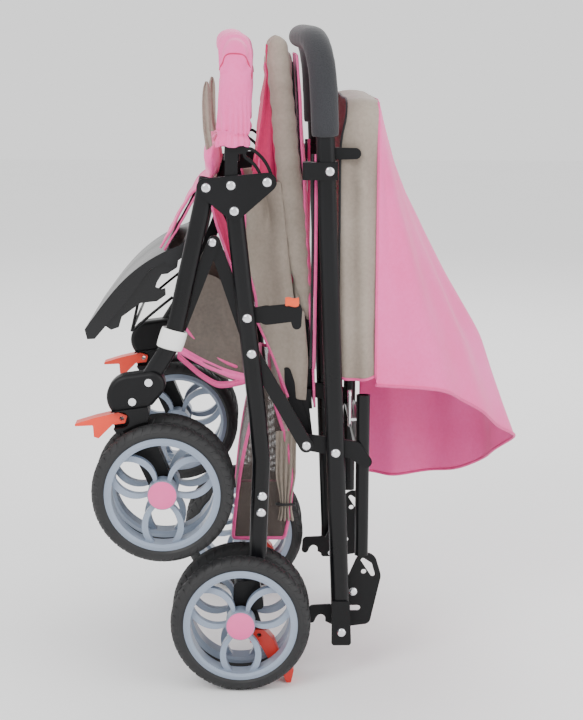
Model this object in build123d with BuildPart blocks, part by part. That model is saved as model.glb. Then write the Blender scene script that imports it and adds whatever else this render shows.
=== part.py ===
"""A folding pushchair, standing folded on its rear wheels and brake pedals.

Millimetres. The pushchair's forward direction is -X, its left side is -Y and +Z is up. The origin is on the
floor, in the middle between the rear wheels, straight under the rear axle.
"""

import os
from math import atan2, cos, degrees, hypot, radians, sin

from build123d import *

# ---------------------------------------------------------------- driving dimensions
WHEEL_D = 180.0          # over the tyre
RIM_D = 150.0            # over the rim's lip
WHEEL_W = 27.0
TWIN_PITCH = 58.0        # between the middles of two twin wheels
HUB_D = 38.0
CAP_D = 36.0
AXLE_D = 10.0
RUN_GAP = 0.05           # radial clearance of a turning fit

TRACK = 400.0            # between the middles of the left and right legs
LEG_DEEP = 23.0          # flat-oval leg tube, fore and aft
LEG_THIN = 16.0          # the same tube, across
LEG_WALL = 1.5
STRUT_DEEP = 18.0
STRUT_THIN = 14.0
HANDLE_TRACK = 360.0     # between the middles of the handle's two arms
HANDLE_DEEP = 24.0
PLATE_T = 3.0
LINK_T = 3.4
LAYER_GAP = 0.3          # side clearance between pieces that swing past each other
RIVET_R = 4.0
HEAD_R = 6.2
HEAD_H = 2.6
CROSS_D = 16.0           # round cross tubes
BODY_W = 294.0           # seat, backrest and basket across

# ---------------------------------------------------------------- the folded side view, as (x, z)
REAR_AXLE = (0.0, WHEEL_D / 2)
FRONT_AXLE = (-99.0, 265.0)
FOLD_PIVOT = (-42.0, 652.0)      # front leg on the joint plate
BAR_PIVOT = (-11.0, 655.0)       # bumper bar on the joint plate
BAR_STAY = (34.0, 659.0)         # the bumper bracket's rear foot
LEG_RIVET = (-7.0, 623.0)        # rear leg on the joint plate
CATCH_PIVOT = (9.0, 487.0)
LINK_PIVOT = (14.5, 441.0)       # fold link and rear brace on the rear leg
LATCH_PIN = (28.0, 254.0)
SOCKET_RIVET = (26.5, 232.0)
BRACE_FOOT = (-82.0, 458.0)      # front brace on the front leg
BRACE_KNEE = (-33.0, 582.0)
FRONT_TUBE = (-98.0, 436.0)
STRUT_PIVOT = (85.0, 317.0)      # fold link, seat and backrest on the strut
STRUT_RIVET = (148.0, 306.0)
HANDLE_PIVOT = (133.0, 62.0)
HANDLE_LEAN = -0.0397            # the arm's x for each mm up
HANDLE_TOP = 835.0
CLAMP_Z = 671.0
GRIP_Z = 713.0
FOOT_HINGE = (-66.0, 572.0)
SWIVEL = (-140.0, 372.0)         # where the caster's axis leaves its socket
SWIVEL_LEAN = 8.0                # degrees from upright while folded
LEVER_PIVOT = (-151.0, 358.0)
PEDAL_PIVOT = (24.0, 66.0)
CANOPY_PIVOT = (146.0, 692.0)
BACKREST_TOP = (50.0, 830.0)
SEAT_TOP = (8.0, 588.0)

LEG_Y = TRACK / 2
LEG_INNER = LEG_Y - LEG_THIN / 2
LEG_OUTER = LEG_Y + LEG_THIN / 2
HANDLE_Y = HANDLE_TRACK / 2
LINK_Y = LEG_INNER - LAYER_GAP - LINK_T / 2
BRACKET_Y = HANDLE_Y - LEG_THIN / 2 - 1.0 - PLATE_T / 2
STRUT_Y = BRACKET_Y - PLATE_T / 2 - STRUT_THIN / 2
LATCH_Y = STRUT_Y - STRUT_THIN / 2 - PLATE_T / 2
BRACE_Y = LINK_Y - LINK_T - LAYER_GAP
PLATE_Y = LEG_OUTER + LAYER_GAP + PLATE_T / 2
SIDES = {"left": -1, "right": 1}

os.makedirs("parts", exist_ok=True)


# ---------------------------------------------------------------- helpers
def side_plane(y):
    """The upright plane at this y: its own x is +X and its own y is +Z."""
    return Plane.XZ.offset(-y)


def save(builder, label):
    """Name a finished piece and write it as its own STEP file."""
    builder.part.label = label
    export_step(builder.part, f"parts/{label}.step")


def place(point, y):
    """A point of the side view, set at this y."""
    return (point[0], y, point[1])


def towards(start, end, distance):
    """The point at this distance from start on the way to end."""
    run = hypot(end[0] - start[0], end[1] - start[1])
    return (
        start[0] + (end[0] - start[0]) * distance / run,
        start[1] + (end[1] - start[1]) * distance / run,
    )


def bore(point, radius, y, length):
    """A round hole along Y through the part being built."""
    with Locations(place(point, y)):
        Cylinder(radius, length, rotation=(90, 0, 0), mode=Mode.SUBTRACT)


def pad(outline, y, thick, mode=Mode.ADD):
    """A plate in the side view with rounded corners, the hull of its (x, z, radius) circles."""
    with BuildSketch(side_plane(y)) as hull:
        for x, z, radius in outline:
            with Locations((x, z)):
                Circle(radius)
        if len(outline) > 1:
            make_hull()
    extrude(hull.sketch, amount=thick / 2, both=True, mode=mode)


def flat_oval(path, deep, thin, wall, mode=Mode.ADD):
    """Sweep a flat-oval section along a path, hollow if it has a wall."""
    section = Plane(origin=path @ 0, x_dir=(1, 0, 0), z_dir=path % 0)
    with BuildSketch(section) as oval:
        SlotOverall(deep, thin)
        if wall:
            SlotOverall(deep - 2 * wall, thin - 2 * wall, mode=Mode.SUBTRACT)
    sweep(oval.sketch, path=path, mode=mode)


def rivet(point, y_from, y_to, radius=RIVET_R, head=HEAD_R):
    """A rivet along Y: its shank from y_from to y_to and a domed head beyond y_to."""
    out = 1 if y_to > 0 else -1
    if y_from != y_to:
        with Locations(place(point, (y_from + y_to) / 2)):
            Cylinder(radius, abs(y_to - y_from), rotation=(90, 0, 0))
    with BuildSketch(Plane(origin=place(point, y_to), x_dir=(1, 0, 0), z_dir=(0, 0, 1))) as dome:
        with BuildLine():
            Line((0, 0), (head, 0))
            ThreePointArc((head, 0), (head * 0.8, out * HEAD_H * 0.7), (head * 0.4, out * HEAD_H))
            Line((head * 0.4, out * HEAD_H), (0, out * HEAD_H))
            Line((0, out * HEAD_H), (0, 0))
        make_face()
    revolve(dome.sketch, axis=Axis(place(point, y_to), (0, 1, 0)))


# ---------------------------------------------------------------- wheels
def tyre(axle, ys):
    """Solid tyres, one at each y, with a rounded tread and a seat for the rim."""
    half = WHEEL_W / 2
    with BuildPart() as part:
        for y in ys:
            with BuildSketch(Plane(origin=(axle[0], y, axle[1]), x_dir=(1, 0, 0), z_dir=(0, 0, 1))):
                with BuildLine():
                    Line((RIM_D / 2 - 6, -half + 5), (RIM_D / 2 - 1, -half + 2))
                    Line((RIM_D / 2 - 1, -half + 2), (RIM_D / 2 + 2, -half))
                    ThreePointArc(
                        (RIM_D / 2 + 2, -half), (WHEEL_D / 2, 0), (RIM_D / 2 + 2, half)
                    )
                    Line((RIM_D / 2 + 2, half), (RIM_D / 2 - 1, half - 2))
                    Line((RIM_D / 2 - 1, half - 2), (RIM_D / 2 - 6, half - 5))
                    Line((RIM_D / 2 - 6, half - 5), (RIM_D / 2 - 6, -half + 5))
                make_face()
            revolve(axis=Axis((axle[0], y, axle[1]), (0, 1, 0)))
    return part


def rim(axle, ys):
    """Rims, one at each y: a lipped ring, a hub with a turning bore and three pairs of curved spokes."""
    half = WHEEL_W / 2
    seat = RIM_D / 2 - 6
    with BuildPart() as part:
        for y in ys:
            with BuildSketch(Plane(origin=(axle[0], y, axle[1]), x_dir=(1, 0, 0), z_dir=(0, 0, 1))):
                with BuildLine():
                    Polyline(
                        (seat - 4, -half + 1), (seat, -half), (RIM_D / 2 - 1, -half + 2),
                        (seat, -half + 5), (seat, half - 5), (RIM_D / 2 - 1, half - 2),
                        (seat, half), (seat - 4, half - 1), (seat - 4, -half + 1),
                    )
                make_face()
                with Locations((HUB_D / 4 + AXLE_D / 4, 0)):
                    Rectangle(HUB_D / 2 - AXLE_D / 2, WHEEL_W - 2)
            revolve(axis=Axis((axle[0], y, axle[1]), (0, 1, 0)))
            with BuildSketch(side_plane(y).shift_origin((axle[0], y, axle[1]))):
                for turn in (270, 150, 30):
                    for hand in (-1, 1):
                        with BuildLine():
                            start = HUB_D / 2 - 4
                            a = radians(turn)
                            c, s = cos(a), sin(a)
                            pts = [(start, hand * 5), (seat * 0.62, hand * 19), (seat - 5, hand * 11)]
                            world = [(u * c - v * s, u * s + v * c) for u, v in pts]
                            ThreePointArc(*world)
                            pts = [(start, hand * 13), (seat * 0.60, hand * 27), (seat - 5, hand * 20)]
                            back = [(u * c - v * s, u * s + v * c) for u, v in pts]
                            ThreePointArc(*back)
                            Line(world[0], back[0])
                            Line(world[2], back[2])
                        make_face()
            extrude(amount=5, both=True)
            bore(axle, AXLE_D / 2 + RUN_GAP, y, WHEEL_W + 2)
    return part


def hub_cap(axle, y, out):
    """A shallow domed cap pressed on the outer wheel's hub."""
    face = y + out * (WHEEL_W / 2 - 1)
    with BuildPart() as part:
        with BuildSketch(Plane(origin=(axle[0], face, axle[1]), x_dir=(1, 0, 0), z_dir=(0, 0, 1))):
            with BuildLine():
                Line((0, 0), (CAP_D / 2, 0))
                Line((CAP_D / 2, 0), (CAP_D / 2, out * 1.4))
                ThreePointArc((CAP_D / 2, out * 1.4), (CAP_D / 3, out * 3.2), (CAP_D / 8, out * 3.8))
                Line((CAP_D / 8, out * 3.8), (0, out * 3.8))
                Line((0, out * 3.8), (0, 0))
            make_face()
        revolve(axis=Axis(place(axle, face), (0, 1, 0)))
    return part


for side, sign in SIDES.items():
    middle = sign * LEG_Y
    twins = (middle - TWIN_PITCH / 2, middle + TWIN_PITCH / 2)
    for end, axle in (("front", FRONT_AXLE), ("rear", REAR_AXLE)):
        save(tyre(axle, twins), f"{end}_tyres_{side}")
        save(rim(axle, twins), f"{end}_rims_{side}")
        save(hub_cap(axle, middle + sign * TWIN_PITCH / 2, sign), f"{end}_hub_cap_{side}")


# ---------------------------------------------------------------- front frame
FRONT_BEND = (-86.0, 455.0)
FRONT_END = (-121.0, 400.0)


def front_leg_path(y):
    """The front leg's middle line, from just above its pivot down into the caster socket."""
    top = towards(FOLD_PIVOT, FRONT_BEND, -12)
    with BuildLine() as path:
        FilletPolyline(place(top, y), place(FRONT_BEND, y), place(FRONT_END, y), radius=40)
    return path.line


def socket_plane(y):
    """The swivel's face, square to the caster's axis."""
    lean = radians(SWIVEL_LEAN)
    return Plane(origin=place(SWIVEL, y), x_dir=(0, 1, 0), z_dir=(-sin(lean), 0, cos(lean)))


LEVER_ROOM = [(*LEVER_PIVOT, 10.5), (LEVER_PIVOT[0] - 50, LEVER_PIVOT[1] - 4, 12)]
LEVER_SWEEP = [(LEVER_PIVOT[0] - 21, LEVER_PIVOT[1], 13), (LEVER_PIVOT[0] - 50, LEVER_PIVOT[1] - 4, 20)]

for side, sign in SIDES.items():
    y = sign * LEG_Y
    with BuildPart() as front_leg:
        flat_oval(front_leg_path(y), LEG_DEEP, LEG_THIN, LEG_WALL)
        bore(FOLD_PIVOT, RIVET_R + RUN_GAP, y, 2 * LEG_THIN)
    save(front_leg, f"front_leg_{side}")

    with BuildPart() as socket:
        pad([(-141, 386, 29), (-112, 402, 17)], y, 30)
        fillet(socket.faces().filter_by(Axis.Y).edges(), 6)
        split(bisect_by=socket_plane(y), keep=Keep.TOP)
        flat_oval(front_leg_path(y), LEG_DEEP, LEG_THIN, 0, mode=Mode.SUBTRACT)
        with BuildSketch(socket_plane(y)):
            Circle(6 + RUN_GAP)
        extrude(amount=24, mode=Mode.SUBTRACT)
    save(socket, f"caster_socket_{side}")

    with BuildPart() as fork:
        pad([(-140, 366, 24), (-146, 352, 16)], y, 40)
        with BuildSketch(side_plane(y)):
            with Locations(FRONT_AXLE):
                Circle(WHEEL_D / 2 + 3)
        extrude(amount=30, both=True, mode=Mode.SUBTRACT)
        pad([(-136, 352, 17), (FRONT_AXLE[0], FRONT_AXLE[1], 15)], y, 22)
        split(bisect_by=socket_plane(y).offset(-LAYER_GAP), keep=Keep.BOTTOM)
        with BuildSketch(socket_plane(y).offset(-2)):
            Circle(6)
        extrude(amount=22)
        bore(FRONT_AXLE, AXLE_D / 2, y, 60)
        pad(LEVER_SWEEP, y, 60, Mode.SUBTRACT)
        pad(LEVER_ROOM, y - 13, 18, Mode.SUBTRACT)
        pad(LEVER_ROOM, y + 13, 18, Mode.SUBTRACT)
        bore(LEVER_PIVOT, 3, y, 30)
    save(fork, f"caster_fork_{side}")

    with BuildPart() as caster_axle:
        with Locations(place(FRONT_AXLE, y)):
            Cylinder(AXLE_D / 2, TWIN_PITCH + WHEEL_W - 3, rotation=(90, 0, 0))
    save(caster_axle, f"caster_axle_{side}")

    with BuildPart() as lever:
        with BuildSketch(side_plane(y)):
            with BuildLine():
                pivot_x, pivot_z = LEVER_PIVOT
                Polyline(
                    (pivot_x + 7, pivot_z + 4), (pivot_x - 4, pivot_z + 8), (pivot_x - 34, pivot_z + 1),
                    (pivot_x - 60, pivot_z - 7), (pivot_x - 60, pivot_z - 10),
                    (pivot_x - 37, pivot_z - 9), (pivot_x - 36, pivot_z - 24),
                    (pivot_x - 30, pivot_z - 26), (pivot_x - 12, pivot_z - 8),
                    (pivot_x + 4, pivot_z - 6), (pivot_x + 7, pivot_z + 4),
                )
            make_face()
            fillet(vertices(), 1.3)
        extrude(amount=11, both=True)
        pad([(pivot_x + 5, pivot_z, 13), (pivot_x - 3, pivot_z, 13)], y, 8.6, Mode.SUBTRACT)
        bore(LEVER_PIVOT, 3 + RUN_GAP, y, 30)
    save(lever, f"swivel_lock_{side}")

# footrest board between the legs, with its height hooks underneath
FOOT_LONG = 176.0
FOOT_DROP = 40.0         # degrees below level
FOOT_W = 270.0
CHEEK_T = 6.0
FOOT_PIN_R = 3.0
FOOT_PIN_IN = 12.0       # how far a leg's pin reaches into the footrest
LUG_T = 10.0             # the lugs that turn on the front legs' pins
LUG_R = 8.0
LUG_LONG = 34.0
CHEEK = (
    (12, -4), (12, 0), (30, 2), (27, 8), (33, 13), (42, 12), (54, 7), (66, 11), (72, 15), (68, 22),
    (63, 24), (68, 31), (82, 30), (100, 18), (131, 16), (143, 24), (153, 20), (156, 8), (90, -8),
)

with BuildPart() as front_pins:
    for sign in SIDES.values():
        y = sign * LEG_Y
        for point in ((-116, 406), (-137, 381)):
            with Locations(place(point, y + sign * (15 + HEAD_H / 2))):
                Cylinder(HEAD_R * 0.8, HEAD_H, rotation=(90, 0, 0))
        inner = FOOT_W / 2 - FOOT_PIN_IN
        with Locations(place(FOOT_HINGE, sign * (LEG_INNER + inner) / 2)):
            Cylinder(FOOT_PIN_R, LEG_INNER - inner, rotation=(90, 0, 0))
save(front_pins, "front_rivets")

with BuildPart() as front_tube:
    with Locations(place(FRONT_TUBE, 0)):
        Cylinder(CROSS_D / 2, 2 * LEG_INNER, rotation=(90, 0, 0))
        Cylinder(CROSS_D / 2 - LEG_WALL, 2 * LEG_INNER, rotation=(90, 0, 0), mode=Mode.SUBTRACT)
save(front_tube, "front_cross_tube")

# the knee braces that straighten between the legs when the frame opens
with BuildPart() as front_braces:
    for sign in SIDES.values():
        pad([(*BRACE_FOOT, 8), (*BRACE_KNEE, 8)], sign * LINK_Y, LINK_T)
        bore(BRACE_FOOT, RIVET_R + RUN_GAP, sign * LINK_Y, 2 * LINK_T)
save(front_braces, "front_braces")

with BuildPart() as rear_braces:
    for sign in SIDES.values():
        pad([(*LINK_PIVOT, 8), (*BRACE_KNEE, 8)], sign * BRACE_Y, LINK_T)
        bore(LINK_PIVOT, RIVET_R + RUN_GAP, sign * BRACE_Y, 2 * LINK_T)
save(rear_braces, "rear_braces")

# the footrest turns on the front legs' pins
foot_plane = Plane(
    origin=place(FOOT_HINGE, 0),
    x_dir=(-cos(radians(FOOT_DROP)), 0, -sin(radians(FOOT_DROP))),
    z_dir=(0, -1, 0),
)
with BuildPart() as footrest:
    with BuildSketch(foot_plane):
        with BuildLine():
            Spline(
                (8, -6), (FOOT_LONG * 0.45, -20), (FOOT_LONG + 2, -3), tangents=((1, -0.4), (1, 0.25))
            )
            Line((FOOT_LONG + 2, -3), (FOOT_LONG + 8, 9))
            Line((FOOT_LONG + 8, 9), (FOOT_LONG, 15))
            Polyline(
                (FOOT_LONG, 15), (FOOT_LONG * 0.62, 4), (FOOT_LONG * 0.35, -8), (8, 3), (8, -6)
            )
        make_face()
    extrude(amount=FOOT_W / 2, both=True)
    for sign in SIDES.values():
        with BuildSketch(foot_plane.offset(sign * (FOOT_W / 2 - CHEEK_T))):
            with BuildLine():
                Polyline(*CHEEK, close=True)
            make_face()
        extrude(amount=-sign * CHEEK_T)
        lug_y = sign * (FOOT_W - LUG_T) / 2
        lug_end = foot_plane.from_local_coords((LUG_LONG, 0, 0))
        pad([(*FOOT_HINGE, LUG_R), (lug_end.X, lug_end.Z, LUG_R - 2)], lug_y, LUG_T)
        bore(FOOT_HINGE, FOOT_PIN_R + RUN_GAP, lug_y, 2 * LUG_T)
save(footrest, "footrest_board")

# ---------------------------------------------------------------- rear frame
def rear_leg_path(y):
    """The rear leg's middle line, with its gentle bend, down into the wheel housing."""
    with BuildLine() as path:
        FilletPolyline(
            (LEG_RIVET[0] - 1, y, LEG_RIVET[1] + 12), (22, y, 360), (27, y, 300), (22, y, 170),
            (9, y, 122), radius=60,
        )
    return path.line


for side, sign in SIDES.items():
    y = sign * LEG_Y
    with BuildPart() as rear_leg:
        flat_oval(rear_leg_path(y), LEG_DEEP, LEG_THIN, LEG_WALL)
        for point in (LEG_RIVET, CATCH_PIVOT, LINK_PIVOT, LATCH_PIN):
            bore(point, RIVET_R, y, 2 * LEG_THIN)
    save(rear_leg, f"rear_leg_{side}")

    with BuildPart() as housing:
        pad([(-2, 132, 7), (18, 136, 7), (24, 108, 6), (-2, 106, 8)], y, 24)
        pad([(*REAR_AXLE, 15), (2, 112, 8)], y, 20)
        pad([(*PEDAL_PIVOT, 7), (12, 100, 8)], y, 8)
        flat_oval(rear_leg_path(y), LEG_DEEP, LEG_THIN, 0, mode=Mode.SUBTRACT)
        bore(REAR_AXLE, AXLE_D / 2, y, 60)
        bore(PEDAL_PIVOT, 3, y, 60)
    save(housing, f"rear_housing_{side}")

    with BuildPart() as pedal:
        with BuildSketch(side_plane(y)):
            with BuildLine():
                Polyline(
                    (12, 64), (20, 74), (32, 72), (44, 58), (50, 40), (62, 24), (70, 18),
                    (66, 0), (60, 0), (54, 16), (38, 30), (26, 52), (12, 56), (12, 64),
                )
            make_face()
            fillet(vertices(), 1.2)
        extrude(amount=10.5, both=True)
        pad([(*PEDAL_PIVOT, 10.5), (12, 96, 12)], y, 8.6, Mode.SUBTRACT)
        bore(PEDAL_PIVOT, 3 + RUN_GAP, y, 30)
    save(pedal, f"brake_pedal_{side}")

with BuildPart() as rear_axle:
    with Locations(place(REAR_AXLE, 0)):
        Cylinder(AXLE_D / 2, TRACK + TWIN_PITCH + WHEEL_W - 3, rotation=(90, 0, 0))
save(rear_axle, "rear_axle")

with BuildPart() as joint_plates:
    for sign in SIDES.values():
        y = sign * PLATE_Y
        pad([(*FOLD_PIVOT, 12), (*BAR_STAY, 12), (*LEG_RIVET, 12)], y, PLATE_T)
        bore(FOLD_PIVOT, RIVET_R, y, 2 * PLATE_T)
        bore(BAR_PIVOT, RIVET_R, y, 2 * PLATE_T)
        bore(BAR_STAY, RIVET_R, y, 2 * PLATE_T)
        bore(LEG_RIVET, RIVET_R, y, 2 * PLATE_T)
save(joint_plates, "joint_plates")

with BuildPart() as catches:
    for sign in SIDES.values():
        y = sign * LINK_Y
        pad([(*CATCH_PIVOT, 9), (34, 490, 11)], y, LINK_T)
        pad([(34, 488, 12), (72, 498, 6), (66, 490, 10)], y, LINK_T)
        pad([(70, 494, 9), (72, 476, 6)], y, LINK_T)
        bore(CATCH_PIVOT, RIVET_R + RUN_GAP, y, 2 * LINK_T)
save(catches, "fold_catches")

# shanks and heads of the rear frame's rivets: the pivots turn on them
with BuildPart() as rear_rivets:
    for sign in SIDES.values():
        outer = sign * (PLATE_Y + PLATE_T / 2)
        for point in (FOLD_PIVOT, BAR_PIVOT, BAR_STAY, LEG_RIVET):
            rivet(point, sign * (LEG_INNER - 1), outer)
        rivet(CATCH_PIVOT, sign * (LINK_Y - LINK_T / 2), sign * LEG_OUTER)
        rivet(LINK_PIVOT, sign * (BRACE_Y - LINK_T / 2), sign * LEG_OUTER)
        rivet(LATCH_PIN, sign * (LATCH_Y - PLATE_T), sign * LEG_OUTER)
        rivet(SOCKET_RIVET, sign * LEG_OUTER, sign * LEG_OUTER)
save(rear_rivets, "rear_rivets")

# ---------------------------------------------------------------- bumper bar
BAR_DEEP = 20.0
BAR_X = -6.0
BAR_TOP = 822.0
BAR_CORNER = 62.0
BAR_BOW = 5.0
COVER_FROM_Z = 716.0


def u_path(foot, arm_y, shoulder, corner, bow):
    """A U over both sides: an arm at -arm_y from foot to shoulder, a corner, a bowed bar and back down."""
    lean = (shoulder[0] - foot[0]) / (shoulder[1] - foot[1])
    end = (shoulder[0] - bow * 0.5, corner - arm_y, shoulder[1] + corner * 1.06)
    with BuildLine() as path:
        Line((foot[0], -arm_y, foot[1]), (shoulder[0], -arm_y, shoulder[1]))
        turn = TangentArc((shoulder[0], -arm_y, shoulder[1]), end, tangent=(lean, 0, 1))
        over = TangentArc(end, (end[0], -end[1], end[2]), tangent=turn % 1)
        TangentArc(over @ 1, (shoulder[0], arm_y, shoulder[1]), tangent=over % 1)
        Line((shoulder[0], arm_y, shoulder[1]), (foot[0], arm_y, foot[1]))
    return path.line


def round_section(path, deep, thin, mode=Mode.ADD):
    """Sweep an elliptical section along a path."""
    section = Plane(origin=path @ 0, x_dir=(1, 0, 0), z_dir=path % 0)
    with BuildSketch(section) as oval:
        Ellipse(deep / 2, thin / 2)
    sweep(oval.sketch, path=path, mode=mode)


bar_foot = (BAR_PIVOT[0] + 1, BAR_PIVOT[1] + 30)
bar_path = u_path(bar_foot, LEG_Y, (BAR_X, BAR_TOP - BAR_CORNER), BAR_CORNER, BAR_BOW)
cover_foot = towards(bar_foot, (BAR_X, BAR_TOP - BAR_CORNER), COVER_FROM_Z - bar_foot[1])
cover_path = u_path(cover_foot, LEG_Y, (BAR_X, BAR_TOP - BAR_CORNER), BAR_CORNER, BAR_BOW)
with BuildPart() as bumper_bar:
    flat_oval(bar_path, BAR_DEEP, 12, 0)
save(bumper_bar, "bumper_bar")

with BuildPart() as bumper_cover:
    round_section(cover_path, 46, 36)
    flat_oval(cover_path, BAR_DEEP, 12, 0, mode=Mode.SUBTRACT)
save(bumper_cover, "bumper_cover")

stay_run = (BAR_STAY[0] - BAR_PIVOT[0], BAR_STAY[1] - BAR_PIVOT[1])
STAY_R = hypot(*stay_run)
STAY_TURN = degrees(atan2(stay_run[1], stay_run[0]))
STAY_SWING = 54.0        # the slot that the rear foot's pin runs in, round the bumper's pivot
STAY_ARM_R = 8.5
STAY_PLAY = 0.35
STAY_STEPS = 9


def arc_pad(swing, radius, y, thick, mode=Mode.ADD):
    """A plate of this half width along the arc that the stay's pin runs in."""
    points = []
    for step in range(STAY_STEPS + 1):
        turn = radians(STAY_TURN + swing * step / STAY_STEPS)
        points.append((BAR_PIVOT[0] + STAY_R * cos(turn), BAR_PIVOT[1] + STAY_R * sin(turn), radius))
    for start, end in zip(points, points[1:]):
        pad([start, end], y, thick, mode)


with BuildPart() as bar_brackets:
    for sign in SIDES.values():
        y = sign * (LEG_Y + 6)
        pad([(*BAR_PIVOT, 8), (BAR_X - 4, 708, 8)], y, 3)
        arc_pad(STAY_SWING, STAY_ARM_R, y, 3)
        pad([(BAR_X - 2, 700, 8), (2, 702, 8)], y, 3)
        arc_pad(STAY_SWING, RIVET_R + STAY_PLAY, y, 6, Mode.SUBTRACT)
        bore(BAR_PIVOT, RIVET_R + RUN_GAP, y, 20)
    flat_oval(bar_path, BAR_DEEP, 12, 0, mode=Mode.SUBTRACT)
save(bar_brackets, "bumper_brackets")

# ---------------------------------------------------------------- fold links and latch strut
with BuildPart() as links:
    for sign in SIDES.values():
        pad([(*LINK_PIVOT, 9), (*STRUT_PIVOT, 9)], sign * LINK_Y, LINK_T)
        bore(LINK_PIVOT, RIVET_R + RUN_GAP, sign * LINK_Y, 2 * LINK_T)
        bore(STRUT_PIVOT, RIVET_R + RUN_GAP, sign * LINK_Y, 2 * LINK_T)
save(links, "fold_links")

STRUT_X = 160.0
STRUT_LOW = 160.0
STRUT_HIGH = 378.0
STRUT_TUBE_Z = 296.0
with BuildPart() as strut_tubes:
    for sign in SIDES.values():
        with BuildSketch(Plane.XY.offset(STRUT_LOW)):
            with Locations((STRUT_X, sign * STRUT_Y)):
                SlotOverall(STRUT_DEEP, STRUT_THIN)
                SlotOverall(STRUT_DEEP - 2 * LEG_WALL, STRUT_THIN - 2 * LEG_WALL, mode=Mode.SUBTRACT)
    extrude(amount=STRUT_HIGH - STRUT_LOW)
    for sign in SIDES.values():
        with Locations((STRUT_X, sign * (STRUT_Y - STRUT_THIN / 2), STRUT_TUBE_Z)):
            Cylinder(CROSS_D / 2, STRUT_THIN, rotation=(90, 0, 0), mode=Mode.SUBTRACT)
save(strut_tubes, "strut_tubes")

with BuildPart() as strut_cross_tube:
    with Locations((STRUT_X, 0, STRUT_TUBE_Z)):
        Cylinder(CROSS_D / 2, 2 * STRUT_Y - 1, rotation=(90, 0, 0))
        Cylinder(CROSS_D / 2 - LEG_WALL, 2 * STRUT_Y - 1, rotation=(90, 0, 0), mode=Mode.SUBTRACT)
    for sign in SIDES.values():
        with Locations((STRUT_X, sign * STRUT_Y, STRUT_TUBE_Z + STRUT_THIN)):
            Box(STRUT_DEEP, 2, STRUT_THIN, mode=Mode.SUBTRACT)
save(strut_cross_tube, "strut_cross_tube")

with BuildPart() as bracket_plates:
    for sign in SIDES.values():
        y = sign * BRACKET_Y
        pad([(*STRUT_PIVOT, 11), (STRUT_RIVET[0], STRUT_RIVET[1], 12)], y, PLATE_T)
        pad([(STRUT_RIVET[0], STRUT_RIVET[1], 12), (164, 290, 8)], y, PLATE_T)
        bore(STRUT_PIVOT, RIVET_R, y, 2 * PLATE_T)
save(bracket_plates, "bracket_plates")

with BuildPart() as latch_plates:
    for sign in SIDES.values():
        y = sign * LATCH_Y
        pad([(167, 145, 15), (172, 128, 15), (150, 108, 14), (165, 69, 9)], y, PLATE_T)
        pad([(150, 108, 14), (133, 70, 14), (165, 69, 9)], y, PLATE_T)
        pad([(133, 70, 14), (118, 82, 6), (97, 80, 7)], y, PLATE_T)
        pad([(97, 80, 7), (94, 67, 5)], y, PLATE_T)
        pad([(107, 68, 6.2), (107, 40, 6.2)], y, 2 * PLATE_T, Mode.SUBTRACT)
        pad([(163, 150, 3), (172, 144, 3), (176, 130, 3)], y, 2 * PLATE_T, Mode.SUBTRACT)
        pad([(148, 83, 4), (156, 83, 4)], y, 2 * PLATE_T, Mode.SUBTRACT)
        bore((164, 134), 3.5, y, 2 * PLATE_T)
        bore(HANDLE_PIVOT, RIVET_R, y, 2 * PLATE_T)
save(latch_plates, "latch_plates")

with BuildPart() as strut_rivets:
    for sign in SIDES.values():
        rivet(HANDLE_PIVOT, sign * (LATCH_Y - PLATE_T), sign * (HANDLE_Y + LEG_THIN / 2 + 3.4))
        rivet(STRUT_PIVOT, sign * (BODY_W / 2 - 20), sign * (LINK_Y + LINK_T / 2 + LAYER_GAP))
        rivet((150, 106), sign * (LATCH_Y + PLATE_T / 2), sign * (LATCH_Y + PLATE_T / 2))
save(strut_rivets, "strut_rivets")

# ---------------------------------------------------------------- handle
SOCKET_LONG = 54.0
HANDLE_CORNER = 66.0
HANDLE_BOW = 28.0


def handle_x(z):
    """The handle arm's middle line."""
    return HANDLE_PIVOT[0] + HANDLE_LEAN * (z - HANDLE_PIVOT[1])


shoulder_z = HANDLE_TOP - HANDLE_CORNER * 1.06
shoulder = (handle_x(shoulder_z), shoulder_z)
handle_foot = (handle_x(HANDLE_PIVOT[1] - 10), HANDLE_PIVOT[1] - 10)
handle_path = u_path(handle_foot, HANDLE_Y, shoulder, HANDLE_CORNER, HANDLE_BOW)
grip_path = u_path((handle_x(GRIP_Z), GRIP_Z), HANDLE_Y, shoulder, HANDLE_CORNER, HANDLE_BOW)
with BuildPart() as handle_tube:
    flat_oval(handle_path, HANDLE_DEEP, LEG_THIN, LEG_WALL)
    for sign in SIDES.values():
        bore(HANDLE_PIVOT, RIVET_R + RUN_GAP, sign * HANDLE_Y, 2 * LEG_THIN)
save(handle_tube, "handle_tube")

with BuildPart() as handle_grip:
    round_section(grip_path, 36, 31)
    flat_oval(grip_path, HANDLE_DEEP, LEG_THIN, 0, mode=Mode.SUBTRACT)
save(handle_grip, "handle_grip")

with BuildPart() as handle_sockets:
    for sign in SIDES.values():
        y = sign * (HANDLE_Y + LEG_THIN / 2 + 1.5)
        low = handle_foot[1] - 4
        pad(
            [(HANDLE_PIVOT[0] - 9, low, 4), (HANDLE_PIVOT[0] + 9, low, 4),
             (HANDLE_PIVOT[0] - 10, low + SOCKET_LONG, 3), (HANDLE_PIVOT[0] + 8, low + SOCKET_LONG, 3)],
            y, 3,
        )
        bore(HANDLE_PIVOT, RIVET_R + RUN_GAP, y, 8)
save(handle_sockets, "handle_sockets")

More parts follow.
